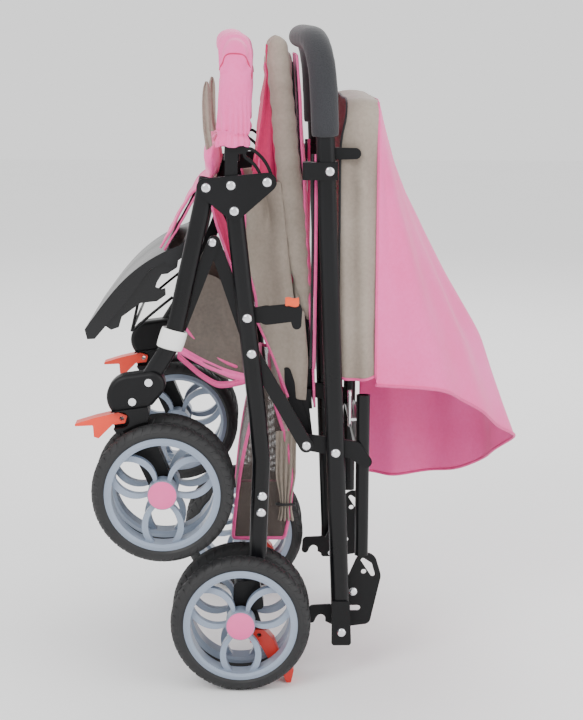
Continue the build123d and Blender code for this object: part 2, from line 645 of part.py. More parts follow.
with BuildPart() as handle_clamps:
    for sign in SIDES.values():
        y = sign * HANDLE_Y
        with Locations((handle_x(CLAMP_Z) - 8, y, CLAMP_Z)):
            Box(44, LEG_THIN + 6, 22)
        fillet(handle_clamps.edges().filter_by(Axis.Z).group_by(Axis.X)[0], 3)
        with Locations((handle_x(CLAMP_Z) - 22, y, CLAMP_Z)):
            Cylinder(3, 30)
    for sign in SIDES.values():
        with Locations((handle_x(CLAMP_Z) - 22, sign * HANDLE_Y, CLAMP_Z)):
            Cylinder(3, 60, mode=Mode.SUBTRACT)
    flat_oval(handle_path, HANDLE_DEEP, LEG_THIN, 0, mode=Mode.SUBTRACT)
save(handle_clamps, "handle_clamps")

with BuildPart() as handle_rivets:
    for sign in SIDES.values():
        face = sign * (HANDLE_Y + LEG_THIN / 2)
        rivet((handle_x(306), 306), face, face)
        rivet((handle_x(CLAMP_Z) + 4, CLAMP_Z), face + sign * 3, face + sign * 3)
save(handle_rivets, "handle_rivets")

# ---------------------------------------------------------------- soft parts
CANOPY_HALF = 162.0
CANOPY_WALL = 4.0
BAND = (136.0, 176.0)
BAND_Z = (402.0, 760.0)
HOOD_LEVELS = ((738, 188), (626, 224), (514, 280), (428, 328), (282, 379), (170, 384))


def hood_shell(inset):
    """The hood's outer form, or its inside with an inset, as a loft of half ovals."""
    with BuildPart() as shell:
        for z, reach in HOOD_LEVELS:
            with BuildSketch(Plane.XY.offset(z)):
                with BuildLine():
                    deep = reach - inset - BAND[1]
                    half = CANOPY_HALF - inset
                    left = Line((BAND[1] + 0.3, half), (BAND[1] + 0.3, -half))
                    Spline(
                        left @ 1,
                        (BAND[1] + deep * 0.75, -half * 0.62),
                        (BAND[1] + deep, 0),
                        (BAND[1] + deep * 0.75, half * 0.62),
                        left @ 0,
                        tangents=((1, 0), (-1, 0)),
                    )
                make_face()
        loft(ruled=True)
    return shell.part


HEM_POINTS = (Vector(379, 0, 282), Vector(197, -165, 395), Vector(263, 150, 191))
hem_normal = (HEM_POINTS[2] - HEM_POINTS[0]).cross(HEM_POINTS[1] - HEM_POINTS[0])
with BuildPart() as hood:
    add(hood_shell(0))
    add(hood_shell(CANOPY_WALL), mode=Mode.SUBTRACT)
    split(bisect_by=Plane(origin=HEM_POINTS[0], z_dir=hem_normal), keep=Keep.TOP)
save(hood, "canopy_hood")

with BuildPart() as band:
    deep = BAND[1] - BAND[0]
    with Locations(((BAND[0] + BAND[1]) / 2, 0, (BAND_Z[0] + BAND_Z[1]) / 2)):
        Box(deep, 2 * CANOPY_HALF, BAND_Z[1] - BAND_Z[0])
    fillet(band.edges().filter_by(Axis.X).group_by(Axis.Z)[-1], 24)
    with Locations(((BAND[0] + BAND[1]) / 2, 0, (BAND_Z[0] + BAND_Z[1]) / 2 - 2 * CANOPY_WALL)):
        Box(
            deep + 2, 2 * (CANOPY_HALF - CANOPY_WALL), BAND_Z[1] - BAND_Z[0],
            mode=Mode.SUBTRACT,
        )
    bore(CANOPY_PIVOT, 3 + RUN_GAP, 0, 3 * CANOPY_HALF)
save(band, "canopy_band")

with BuildPart() as posts:
    for sign in SIDES.values():
        outer = HANDLE_Y - LEG_THIN / 2
        pad([(*CANOPY_PIVOT, 7), (handle_x(CANOPY_PIVOT[1]), CANOPY_PIVOT[1], 8)], sign * (outer - 1.5), 3)
        with Locations(place(CANOPY_PIVOT, sign * (CANOPY_HALF - 8 + outer - 3) / 2)):
            Cylinder(3, outer - 3 - CANOPY_HALF + 8, rotation=(90, 0, 0))
save(posts, "canopy_posts")


def slab(foot, top, from_s, to_s, near, far, width):
    """A tapering slab beside the line from foot to top: (offset, thickness) at its near and far end."""
    run = hypot(top[0] - foot[0], top[1] - foot[1])
    along = ((top[0] - foot[0]) / run, (top[1] - foot[1]) / run)
    across = (along[1], -along[0])
    corners = []
    for s, offset in ((from_s, near[0]), (to_s, far[0]), (to_s, sum(far)), (from_s, sum(near))):
        corners.append(
            (foot[0] + along[0] * s + across[0] * offset, foot[1] + along[1] * s + across[1] * offset)
        )
    with BuildSketch(side_plane(0)) as outline:
        with BuildLine():
            Polyline(*corners, close=True)
        make_face()
    extrude(outline.sketch, amount=width / 2, both=True)


SEAT_LONG = 276.0
BACK_LONG = 512.0
with BuildPart() as seat_board:
    slab(STRUT_PIVOT, SEAT_TOP, 30, SEAT_LONG, (-3, 5), (-3, 5), BODY_W - 30)
    for sign in SIDES.values():
        y = sign * (BODY_W / 2 - 2)
        pad([(*STRUT_PIVOT, 10), (*towards(STRUT_PIVOT, SEAT_TOP, 92), 6)], y, 3)
        ear = towards(STRUT_PIVOT, SEAT_TOP, 84)
        with Locations((ear[0], sign * (BODY_W / 2 - 9.5), ear[1])):
            Box(8, 14, 16)
        bore(STRUT_PIVOT, RIVET_R + RUN_GAP, y, 8)
save(seat_board, "seat_board")

with BuildPart() as seat_cushion:
    slab(STRUT_PIVOT, SEAT_TOP, 66, SEAT_LONG, (2.3, 5), (2.3, 17), BODY_W - 34)
save(seat_cushion, "seat_cushion")

with BuildPart() as back_board:
    slab(STRUT_PIVOT, BACKREST_TOP, 34, BACK_LONG - 24, (7, 5), (11, 5), BODY_W - 40)
    for sign in SIDES.values():
        y = sign * (BODY_W / 2 - 6)
        pad([(*STRUT_PIVOT, 10), (*towards(STRUT_PIVOT, BACKREST_TOP, 60), 7)], y, 3)
        ear = towards(STRUT_PIVOT, BACKREST_TOP, 56)
        with Locations((ear[0] + 6, sign * (BODY_W / 2 - 13.5), ear[1])):
            Box(10, 14, 16)
        bore(STRUT_PIVOT, RIVET_R + RUN_GAP, y, 8)
save(back_board, "backrest_board")

with BuildPart() as back_pad:
    slab(STRUT_PIVOT, BACKREST_TOP, 90, BACK_LONG, (0, 6.5), (-18, 28.5), BODY_W)
save(back_pad, "backrest_pad")

BASKET = [(-6, 182), (54, 182), (66, 226), (60, 320), (38, 384), (28, 384)]
BASKET_WALL = 3.0
BASKET_R = 6.0
with BuildPart() as basket:
    pad([(x, z, BASKET_R) for x, z in BASKET], 0, BODY_W - 6)
    pad([(x, z, BASKET_R - BASKET_WALL) for x, z in BASKET[:4]] + [(44, 372, 2), (30, 400, 8)],
        0, BODY_W - 6 - 2 * BASKET_WALL, Mode.SUBTRACT)
save(basket, "storage_basket")

with BuildPart() as basket_front:
    pad([(-74, 468, 3), (-8, 412, 3)], 0, BODY_W - 6)
save(basket_front, "basket_front")
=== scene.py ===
"""Looks for a folding pushchair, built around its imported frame. Metres; forward is -X, left is -Y, +Z is up."""
from math import cos, hypot, pi, radians, sin, sqrt

import bmesh
import bpy
import numpy as np
from mathutils import Matrix, Vector, noise
from mathutils.bvhtree import BVHTree


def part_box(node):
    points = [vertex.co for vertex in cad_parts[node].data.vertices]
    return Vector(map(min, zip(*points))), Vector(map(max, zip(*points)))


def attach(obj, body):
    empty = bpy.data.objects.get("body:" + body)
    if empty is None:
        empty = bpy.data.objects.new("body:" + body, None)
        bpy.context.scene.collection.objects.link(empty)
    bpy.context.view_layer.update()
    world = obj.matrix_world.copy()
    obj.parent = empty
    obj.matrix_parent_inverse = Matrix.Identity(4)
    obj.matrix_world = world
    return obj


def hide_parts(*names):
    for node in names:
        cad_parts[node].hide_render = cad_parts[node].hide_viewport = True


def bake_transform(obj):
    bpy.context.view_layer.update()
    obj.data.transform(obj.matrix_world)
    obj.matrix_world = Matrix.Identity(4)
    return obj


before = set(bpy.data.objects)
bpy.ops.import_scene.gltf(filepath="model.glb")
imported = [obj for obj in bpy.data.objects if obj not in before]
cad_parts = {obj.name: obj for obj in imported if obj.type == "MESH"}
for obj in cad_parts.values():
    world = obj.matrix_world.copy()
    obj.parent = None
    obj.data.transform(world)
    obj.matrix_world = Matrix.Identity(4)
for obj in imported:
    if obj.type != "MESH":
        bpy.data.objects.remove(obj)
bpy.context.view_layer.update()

MM = 0.001


# ------------------------------------------------------------------ shader maths
class Val:
    """A value that varies over a surface. Arithmetic on it adds Math nodes."""

    def __init__(self, paint, socket):
        self.paint, self.socket = paint, socket

    def math(self, operation, *others):
        return self.paint.node("ShaderNodeMath", {"operation": operation}, [self, *others])

    def __add__(self, other):
        return self.math("ADD", other)

    def __mul__(self, other):
        return self.math("MULTIPLY", other)

    def __sub__(self, other):
        return self.math("SUBTRACT", other)

    def __rsub__(self, other):
        return self.paint.node("ShaderNodeMath", {"operation": "SUBTRACT"}, [other, self])

    __radd__ = __add__
    __rmul__ = __mul__


class Paint:
    """One material: a Principled shader and the nodes that feed it."""

    def __init__(self, name, rough=0.5, metal=0.0, **constants):
        self.material = bpy.data.materials.new(name)
        self.material.use_nodes = True
        self.tree = self.material.node_tree
        self.shader = self.tree.nodes["Principled BSDF"]
        self.put("Roughness", rough)
        self.put("Metallic", metal)
        for key, value in constants.items():
            self.put(key.replace("_", " "), value)
        self.place = self.node("ShaderNodeTexCoord", {}, {}, "Object")

    def feed(self, socket, value):
        if isinstance(value, Val):
            self.tree.links.new(value.socket, socket)
        else:
            socket.default_value = value

    def put(self, key, value):
        self.feed(self.shader.inputs[key], value)

    def node(self, kind, settings, values, output=0):
        made = self.tree.nodes.new(kind)
        for key, value in settings.items():
            if key == "stops":
                ramp = made.color_ramp
                while len(ramp.elements) < len(value):
                    ramp.elements.new(0.5)
                for stop, (position, colour) in zip(ramp.elements, value):
                    stop.position = position
                    stop.color = (*colour, 1) if len(colour) == 3 else colour
            else:
                setattr(made, key, value)
        pairs = values.items() if isinstance(values, dict) else enumerate(values)
        for key, value in pairs:
            self.feed(made.inputs[key], value)
        return Val(self, made.outputs[output])

    def speckle(self, scale, detail=3.0, rough=0.5, place=None):
        return self.node("ShaderNodeTexNoise", {}, {
            "Vector": place or self.place, "Scale": scale, "Detail": detail, "Roughness": rough}, "Fac")

    def axis(self, place=None):
        """The x, y and z of a place, as three values."""
        made = self.tree.nodes.new("ShaderNodeSeparateXYZ")
        self.feed(made.inputs[0], place or self.place)
        return [Val(self, made.outputs[i]) for i in range(3)]

    def mix(self, share, a, b):
        return self.node("ShaderNodeMix", {"data_type": "RGBA"}, {0: share, 6: (*a, 1) if isinstance(a, tuple) else a,
                                                                  7: (*b, 1) if isinstance(b, tuple) else b}, 2)

    def clamp(self, value, low, high, to_low=0.0, to_high=1.0):
        return self.node("ShaderNodeMapRange", {}, [value, low, high, to_low, to_high])

    def bump(self, height, strength=0.3, distance=0.001, under=None):
        values = {"Height": height, "Strength": strength, "Distance": distance}
        if under is not None:
            values["Normal"] = under
        made = self.node("ShaderNodeBump", {}, values)
        self.put("Normal", made)
        return made


def shade(r, g, b):
    """A screen colour, 0 to 255, as the linear colour a shader takes."""
    return tuple(((c / 255 + 0.055) / 1.055) ** 2.4 if c > 10 else c / 3295 for c in (r, g, b))


def coated(name, colour, worn, rough, coat, grain, bump=0.15, shine=0.5):
    """Painted or moulded hard finish: fine grain, faint mottling, a worn tone in patches."""
    paint = Paint(name, rough=rough, Coat_Roughness=0.2, Specular_IOR_Level=shine)
    cloud = paint.speckle(9, 4)
    fine = paint.speckle(grain, 2, 0.6)
    patch = paint.clamp(cloud, 0.42, 0.7)
    paint.put("Base Color", paint.mix(patch * 0.5, colour, worn))
    paint.put("Roughness", paint.clamp(cloud, 0.3, 0.75, rough - 0.05, rough + 0.09))
    paint.put("Coat Weight", coat)
    paint.bump(fine, bump, 0.0004)
    return paint.material


def woven(name, light, dark, pitch=0.0011, rough=0.75, sheen=0.35, crease=0.35, alpha=False):
    """Cloth: a plain weave, a slow change of tone and soft creases."""
    paint = Paint(name, rough=rough, Sheen_Weight=sheen, Sheen_Roughness=0.45)
    x, y, z = paint.axis()
    turn = 2 * pi / pitch
    warp = ((x + y) * turn).math("SINE")
    weft = ((z + (x - y) * 0.15) * turn).math("SINE")
    thread = warp * weft
    cloud = paint.speckle(7, 4)
    slub = paint.speckle(240, 2)
    tone = paint.clamp(cloud * 0.7 + slub * 0.3, 0.32, 0.68)
    paint.put("Base Color", paint.mix(tone, dark, light))
    paint.put("Roughness", paint.clamp(slub, 0.3, 0.7, rough - 0.06, rough + 0.08))
    soft = paint.bump(paint.speckle(26, 5, 0.6), crease, 0.004)
    paint.bump(thread, 0.25, 0.0003, soft)
    if alpha:
        hole_u = ((x + y) * (2 * pi / alpha)).math("SINE")
        hole_v = (z * (2 * pi / alpha)).math("SINE")
        hole = (hole_u * hole_v).math("ABSOLUTE")
        paint.put("Alpha", paint.clamp(hole, 0.25, 0.45, 1.0, 0.12))
    return paint.material


def rubber(name):
    paint = Paint(name, rough=0.62)
    cloud = paint.speckle(30, 4)
    paint.put("Base Color", paint.mix(cloud, shade(12, 12, 13), shade(30, 30, 32)))
    paint.put("Roughness", paint.clamp(cloud, 0.3, 0.7, 0.5, 0.72))
    paint.bump(paint.speckle(420, 2), 0.25, 0.0004)
    return paint.material


def metal(name, colour, rough):
    paint = Paint(name, rough=rough, metal=1.0)
    cloud = paint.speckle(60, 3)
    paint.put("Base Color", paint.mix(cloud, colour, tuple(c * 0.8 for c in colour)))
    paint.put("Roughness", paint.clamp(cloud, 0.3, 0.7, rough, rough + 0.15))
    paint.bump(paint.speckle(500, 2), 0.08, 0.0003)
    return paint.material


def foam(name):
    paint = Paint(name, rough=0.85, Sheen_Weight=0.15)
    cell = paint.node("ShaderNodeTexVoronoi", {}, {"Vector": paint.place, "Scale": 620.0}, "Distance")
    cloud = paint.speckle(12, 3)
    paint.put("Base Color", paint.mix(cloud, shade(24, 25, 29), shade(40, 41, 46)))
    paint.put("Roughness", paint.clamp(cell, 0.0, 0.6, 0.95, 0.78))
    paint.bump(cell, 0.35, 0.0006)
    return paint.material


PINK = shade(250, 108, 180)
PINK_DEEP = shade(242, 80, 154)
M = {
    "frame_black": coated("frame_black", shade(5, 5, 7), shade(12, 13, 17), 0.3, 0.05, 380, 0.15, 0.25),
    "plastic_black": coated("plastic_black", shade(6, 6, 8), shade(14, 14, 17), 0.4, 0.0, 700, 0.25, 0.25),
    "rim_grey": coated("rim_grey", shade(130, 142, 160), shade(148, 160, 178), 0.36, 0.1, 500),
    "tyre_black": rubber("tyre_black"),
    "cap_pink": coated("cap_pink", shade(226, 88, 150), shade(238, 110, 166), 0.32, 0.2, 500),
    "lever_red": coated("lever_red", shade(232, 48, 18), shade(240, 66, 32), 0.35, 0.15, 500),
    "pedal_red": coated("pedal_red", shade(206, 36, 24), shade(222, 56, 40), 0.38, 0.15, 500),
    "board_grey": coated("board_grey", shade(9, 9, 12), shade(24, 25, 30), 0.28, 0.1, 260, 0.1, 0.35),
    "chrome": metal("chrome", (0.86, 0.87, 0.9), 0.12),
    "steel": metal("steel", (0.55, 0.56, 0.58), 0.3),
    "grip_foam": foam("grip_foam"),
    "fabric_pink": woven("fabric_pink", PINK, PINK_DEEP, sheen=0.2, rough=0.62),
    "fabric_grey": woven("fabric_grey", shade(162, 150, 138), shade(132, 120, 108), sheen=0.2),
    "mesh_grey": woven("mesh_grey", shade(104, 92, 86), shade(74, 66, 62), rough=0.8, alpha=0.0026),
    # grey cloth darkened towards brown: painted shade of the basket's inner side, used on the flap and the footwell
    # sides
    "grey_cloth_painted_shade": woven("grey_cloth_painted_shade", shade(112, 100, 91), shade(74, 64, 58), rough=0.5, sheen=0.2, crease=0.6),
    "piping_pink": woven("piping_pink", shade(240, 96, 160), shade(214, 64, 132), sheen=0.2),
    "lining_pink": woven("lining_pink", shade(214, 44, 106), shade(176, 26, 80), sheen=0.2),
    "band_white": coated("band_white", shade(238, 238, 236), shade(226, 226, 224), 0.4, 0.0, 500),
    "tag_orange": woven("tag_orange", shade(240, 92, 44), shade(220, 70, 30), sheen=0.2),
    "piping_black": woven("piping_black", shade(34, 34, 37), shade(22, 22, 24), sheen=0.2),
}


# ------------------------------------------------------------------ mesh making
def link(name, mesh, slot, smooth=True):
    thing = bpy.data.objects.new(name, mesh)
    bpy.context.scene.collection.objects.link(thing)
    mesh.materials.clear()
    mesh.materials.append(M[slot])
    if smooth:
        mesh.polygons.foreach_set("use_smooth", [True] * len(mesh.polygons))
    return thing


def from_rows(name, rows, slot, closed=False):
    """A surface over rows of points; closed joins each row's last point to its first."""
    wide = len(rows[0])
    points = [p for row in rows for p in row]
    faces = []
    for r in range(len(rows) - 1):
        for c in range(wide if closed else wide - 1):
            d = (c + 1) % wide
            faces.append((r * wide + c, r * wide + d, (r + 1) * wide + d, (r + 1) * wide + c))
    mesh = bpy.data.meshes.new(name)
    mesh.from_pydata([tuple(p) for p in points], [], faces)
    mesh.validate()
    return link(name, mesh, slot)


def outward(mesh):
    shape = bmesh.new()
    shape.from_mesh(mesh)
    bmesh.ops.remove_doubles(shape, verts=shape.verts, dist=2e-5)
    bmesh.ops.recalc_face_normals(shape, faces=shape.faces)
    shape.to_mesh(mesh)
    shape.free()


def settle(thing):
    """Make the modifiers' result the mesh, and drop the modifiers."""
    graph = bpy.context.evaluated_depsgraph_get()
    done = bpy.data.meshes.new_from_object(thing.evaluated_get(graph))
    thing.modifiers.clear()
    thing.data = done
    thing.data.polygons.foreach_set("use_smooth", [True] * len(done.polygons))
    return thing


def cloth(name, rows, slot, thick=0.0012, closed=False, levels=1):
    """A fabric sheet with its thickness, from rows of points."""
    sheet = from_rows(name, rows, slot, closed)
    outward(sheet.data)
    solid = sheet.modifiers.new("thickness", "SOLIDIFY")
    solid.thickness, solid.offset = thick, 0.0
    solid.use_even_offset = False
    if levels:
        soft = sheet.modifiers.new("soft", "SUBSURF")
        soft.levels = soft.render_levels = levels
    settle(sheet)
    outward(sheet.data)
    return sheet


def hang(rows, closed=False):
    """Work out the flat size of a cloth's cut: its longest row, its longest column and its area; the results are not
    kept.
    """
    wide = max(sum((b - a).length for a, b in zip(row, row[1:] + (row[:1] if closed else []))) for row in rows)
    tall = max(sum((b[c] - a[c]).length for a, b in zip(rows, rows[1:])) for c in range(len(rows[0])))
    area = 0.0
    for low, high in zip(rows, rows[1:]):
        for c in range(len(low) - (0 if closed else 1)):
            d = (c + 1) % len(low)
            area += ((high[d] - low[c]).cross(high[c] - low[d])).length / 2


def cord_along(name, points, radius, slot, closed=False, flat=1.0):
    """A round welt or wire that follows points."""
    line = bpy.data.curves.new(name, "CURVE")
    line.dimensions = "3D"
    line.bevel_depth, line.bevel_resolution, line.resolution_u = radius, 3, 3
    line.use_fill_caps = True
    spline = line.splines.new("NURBS")
    spline.points.add(len(points) - 1)
    for slotted, point in zip(spline.points, points):
        slotted.co = (*point, 1)
    spline.order_u = 3
    spline.use_endpoint_u = not closed
    spline.use_cyclic_u = closed
    temp = bpy.data.objects.new(name, line)
    bpy.context.scene.collection.objects.link(temp)
    graph = bpy.context.evaluated_depsgraph_get()
    mesh = bpy.data.meshes.new_from_object(temp.evaluated_get(graph))
    bpy.data.objects.remove(temp)
    outward(mesh)
    return link(name, mesh, slot)


def puff(name, node, slot, cap, voxel=0.005, pressure=4.0, shrink=0.0):
    """A padded piece grown from a CAD solid: remeshed, then blown up by cloth as far as cap."""
    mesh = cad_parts[node].data.copy()
    outward(mesh)
    pad = link(name, mesh, slot)
    grid = pad.modifiers.new("grid", "REMESH")
    grid.mode, grid.voxel_size = "VOXEL", voxel
    settle(pad)
    if shrink:
        for v in pad.data.vertices:
            v.co -= v.normal * shrink
    start = np.array([v.co for v in pad.data.vertices])
    swell = pad.modifiers.new("swell", "CLOTH")
    swell.settings.quality = 5
    swell.settings.mass = 0.3
    swell.settings.tension_stiffness = swell.settings.compression_stiffness = 12
    swell.settings.bending_stiffness = 0.4
    swell.settings.use_pressure = True
    swell.settings.uniform_pressure_force = pressure
    swell.settings.effector_weights.gravity = 0
    scene = bpy.context.scene
    for step in range(1, 21):
        scene.frame_set(step)
    graph = bpy.context.evaluated_depsgraph_get()
    grown = bpy.data.meshes.new_from_object(pad.evaluated_get(graph))
    end = np.array([v.co for v in grown.vertices])
    move = end - start
    far = np.linalg.norm(move, axis=1)
    move *= (np.minimum(far, cap) / np.maximum(far, 1e-9))[:, None]
    pad.modifiers.clear()
    scene.frame_set(1)
    pad.data.vertices.foreach_set("co", (start + move).ravel())
    pad.data.update()
    smooth = pad.modifiers.new("smooth", "SMOOTH")
    smooth.factor, smooth.iterations = 0.5, 6
    soft = pad.modifiers.new("soft", "SUBSURF")
    soft.levels = soft.render_levels = 1
    settle(pad)
    return pad


def dent(pad, wave):
    """Move each point of a pad along its normal by wave(point)."""
    normals = [v.normal.copy() for v in pad.data.vertices]
    for v, n in zip(pad.data.vertices, normals):
        v.co += n * wave(v.co)
    pad.data.update()


def blob(point, scale, seed=0.0):
    return noise.noise(Vector((point[0] * scale + seed, point[1] * scale, point[2] * scale)))


def ease(value, low, high):
    t = min(1.0, max(0.0, (value - low) / (high - low)))
    return t * t * (3 - 2 * t)


def lerp(a, b, t):
    return a + (b - a) * t


def along(table, value):
    """Read a table of (key, value) pairs, keys falling or rising, smoothly."""
    rising = table if table[0][0] < table[-1][0] else table[::-1]
    for (k0, v0), (k1, v1) in zip(rising, rising[1:]):
        if value <= k1:
            return lerp(v0, v1, min(1.0, max(0.0, (value - k0) / (k1 - k0))))
    return rising[-1][1]


# ------------------------------------------------------------------ CAD nodes keep their shape, with real finishes
FINISH = {
    "tyre_black": ("tyres",), "rim_grey": ("rims",), "cap_pink": ("hub_cap",), "lever_red": ("swivel_lock",),
    "pedal_red": ("brake_pedal",), "chrome": ("rivets", "caster_axle"), "board_grey": ("footrest_board",),
    "plastic_black": ("caster_fork", "caster_socket", "rear_housing", "fold_catches", "bumper_brackets",
                      "latch_plates", "handle_sockets", "handle_clamps", "canopy_posts", "seat_board",
                      "backrest_board", "bracket_plates"),
    "steel": ("rear_axle",), "fabric_grey": ("storage_basket", "basket_front", "canopy_band", "backrest_pad",
                                              "seat_cushion"),
    "fabric_pink": ("bumper_cover", "canopy_hood"), "grip_foam": ("handle_grip",),
}
for name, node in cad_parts.items():
    slot = next((s for s, keys in FINISH.items() if any(k in name for k in keys)), "frame_black")
    node.data.materials.clear()
    node.data.materials.append(M[slot])


# ------------------------------------------------------------------ tyre tread
def tread_tree():
    """Lugs round a wheel: the input mesh is one lug, set at each of count points round the Y axis."""
    tree = bpy.data.node_groups.new("lugs", "GeometryNodeTree")
    tree.interface.new_socket("Geometry", in_out="INPUT", socket_type="NodeSocketGeometry")
    for label, kind, start in (("Count", "Int", 40), ("Radius", "Float", 0.088), ("Phase", "Float", 0.0)):
        made = tree.interface.new_socket(label, in_out="INPUT", socket_type=f"NodeSocket{kind}")
        made.default_value = start
    tree.interface.new_socket("Centre", in_out="INPUT", socket_type="NodeSocketVector")
    tree.interface.new_socket("Rubber", in_out="INPUT", socket_type="NodeSocketMaterial")
    tree.interface.new_socket("Geometry", in_out="OUTPUT", socket_type="NodeSocketGeometry")
    new, join = tree.nodes.new, tree.links.new
    start, end = new("NodeGroupInput"), new("NodeGroupOutput")
    ring, spin = new("GeometryNodeMeshCircle"), new("ShaderNodeCombineXYZ")
    index, share, place = new("GeometryNodeInputIndex"), new("ShaderNodeMath"), new("GeometryNodeInstanceOnPoints")
    move, real, paint = new("GeometryNodeTransform"), new("GeometryNodeRealizeInstances"), new("GeometryNodeSetMaterial")
    turn, per, shift = new("ShaderNodeMath"), new("ShaderNodeMath"), new("ShaderNodeMath")
    zero, flat = new("GeometryNodeSetPosition"), new("ShaderNodeCombineXYZ")
    per.operation, share.operation, turn.operation, shift.operation = "DIVIDE", "MULTIPLY", "ADD", "MULTIPLY"
    per.inputs[0].default_value = 2 * pi
    join(start.outputs["Count"], ring.inputs["Vertices"])
    join(start.outputs["Count"], per.inputs[1])
    join(index.outputs[0], share.inputs[0])
    join(per.outputs[0], share.inputs[1])
    join(share.outputs[0], turn.inputs[0])
    join(start.outputs["Phase"], turn.inputs[1])
    join(turn.outputs[0], spin.inputs[1])
    ring.inputs["Radius"].default_value = 0.0001
    join(ring.outputs["Mesh"], zero.inputs["Geometry"])
    join(flat.outputs[0], zero.inputs["Position"])
    join(zero.outputs[0], place.inputs["Points"])
    join(start.outputs["Geometry"], place.inputs["Instance"])
    join(spin.outputs[0], place.inputs["Rotation"])
    join(place.outputs[0], move.inputs["Geometry"])
    join(start.outputs["Centre"], move.inputs["Translation"])
    join(move.outputs[0], real.inputs[0])
    join(real.outputs[0], paint.inputs["Geometry"])
    join(start.outputs["Rubber"], paint.inputs["Material"])
    join(paint.outputs[0], end.inputs[0])
    return tree


TYRE_R, LUG_RISE = 0.090, 0.0009
LUGS = tread_tree()


def lug(hand):
    """One curved lug from the tread's middle down the tyre's side, at the wheel's top, in the wheel's frame."""
    rows = []
    steps = 9
    for i in range(steps + 1):
        t = i / steps
        y = hand * lerp(0.0008, 0.0128, t)
        drop = 0.0125 * (1 - sqrt(max(0.0, 1 - (y / 0.0136) ** 2)))
        lean = 0.0065 * sin(pi * (t - 0.15)) * 0.9 - 0.004 * t
        half = lerp(0.0030, 0.0041, t)
        radius = TYRE_R - drop + LUG_RISE
        side = 0.0 if t < 0.98 else -0.0006
        rows.append([(lean - half - 0.0006, y, radius - 0.004), (lean - half, y, radius + side),
                     (lean + half, y, radius + side), (lean + half + 0.0006, y, radius - 0.004)])
    mesh = bpy.data.meshes.new("lug")
    points = [p for row in rows for p in row]
    faces = []
    for r in range(steps):
        for c in range(4):
            d = (c + 1) % 4
            faces.append((r * 4 + c, r * 4 + d, r * 4 + 4 + d, r * 4 + 4 + c))
    faces += [(0, 1, 2, 3), tuple(steps * 4 + k for k in (3, 2, 1, 0))]
    mesh.from_pydata(points, [], faces)
    outward(mesh)
    return mesh


def tread(name, node, body):
    low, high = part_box(node)
    centre = (low + high) / 2
    rings = []
    for y in (low.y + 0.0135, high.y - 0.0135):
        for hand in (-1, 1):
            ring = link(name, lug(hand), "tyre_black", smooth=False)
            made = ring.modifiers.new("lugs", "NODES")
            made.node_group = LUGS
            ids = {s.name: s.identifier for s in LUGS.interface.items_tree if s.in_out == "INPUT"}
            made[ids["Count"]], made[ids["Radius"]] = 44, TYRE_R
            made[ids["Phase"]] = 0.0 if hand > 0 else pi / 44
            made[ids["Centre"]] = (centre.x, y, centre.z)
            made[ids["Rubber"]] = M["tyre_black"]
            rings.append(ring)
    shape = bmesh.new()
    graph = bpy.context.evaluated_depsgraph_get()
    for ring in rings:
        done = bpy.data.meshes.new_from_object(ring.evaluated_get(graph))
        shape.from_mesh(done)
        bpy.data.objects.remove(ring)
    mesh = bpy.data.meshes.new(name)
    shape.to_mesh(mesh)
    shape.free()
    piece = link(name, mesh, "tyre_black", smooth=False)
    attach(piece, body)


for side in ("left", "right"):
    for end in ("front", "rear"):
        tread(f"{end}_tread_{side}", f"{end}_tyres_{side}", f"{end}_wheels_{side}")

# ------------------------------------------------------------------ canopy: grey band and pink hood
band_low, band_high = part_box("canopy_band")
hood_low, hood_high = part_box("canopy_hood")
HALF = band_high.y - 0.001
CORNER = 0.026
SEAM_X = band_high.x


def band_path(count=96):
    """The band's middle line over the top: from the left hem up, across and down to the right hem."""
    side = band_high.z - CORNER - band_low.z
    arc, flat = CORNER * pi / 2, 2 * (HALF - CORNER)
    total = 2 * side + 2 * arc + flat
    line = []
    for i in range(count + 1):
        s = total * i / count
        if s < side:
            line.append((-HALF, band_low.z + s, s / total))
        elif s < side + arc:
            a = (s - side) / CORNER
            line.append((-HALF + CORNER - CORNER * cos(a), band_high.z - CORNER + CORNER * sin(a), s / total))
        elif s < side + arc + flat:
            line.append((-HALF + CORNER + s - side - arc, band_high.z, s / total))
        elif s < total - side:
            a = (s - side - arc - flat) / CORNER
            line.append((HALF - CORNER + CORNER * sin(a), band_high.z - CORNER + CORNER * cos(a), s / total))
        else:
            line.append((HALF, band_low.z + total - s, s / total))
    return line, total


path, BAND_LONG = band_path()
rows = []
for y, z, s in path:
    row = []
    for k in range(13):
        t = k / 12
        x = lerp(band_low.x - 0.009 * (1 - ease(z, 0.70, 0.75)), SEAM_X, t)
        down = 1 - ease(z, 0.62, 0.75)
        sag = 0.0035 * sin(pi * t) + 0.0042 * sin(3.4 * pi * t + 5 * s) * down + 0.002 * blob((x, y, z), 22)
        out = Vector((0, 1 if y > 0 else -1, 0)) if z < band_high.z - CORNER else Vector(
            (0, y / HALF if abs(y) > HALF - CORNER else 0, 1)).normalized()
        low = -0.004 * sin(pi * t) if s < 0.01 or s > 0.99 else 0
        row.append(Vector((x, y, z + low)) + out * (sag - 0.002))
    rows.append(row)
band = cloth("canopy_side_band", rows, "fabric_grey", 0.0014)
front_welt = cord_along("band_front_welt", [r[0] for r in rows[::2]], 0.0017, "piping_black")
hem_left = cord_along("band_hem_left", rows[0], 0.0019, "piping_pink")
hem_right = cord_along("band_hem_right", rows[-1], 0.0019, "piping_pink")
for piece in (band, front_welt, hem_left, hem_right):
    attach(piece, "canopy")
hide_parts("canopy_band")
hang(rows)

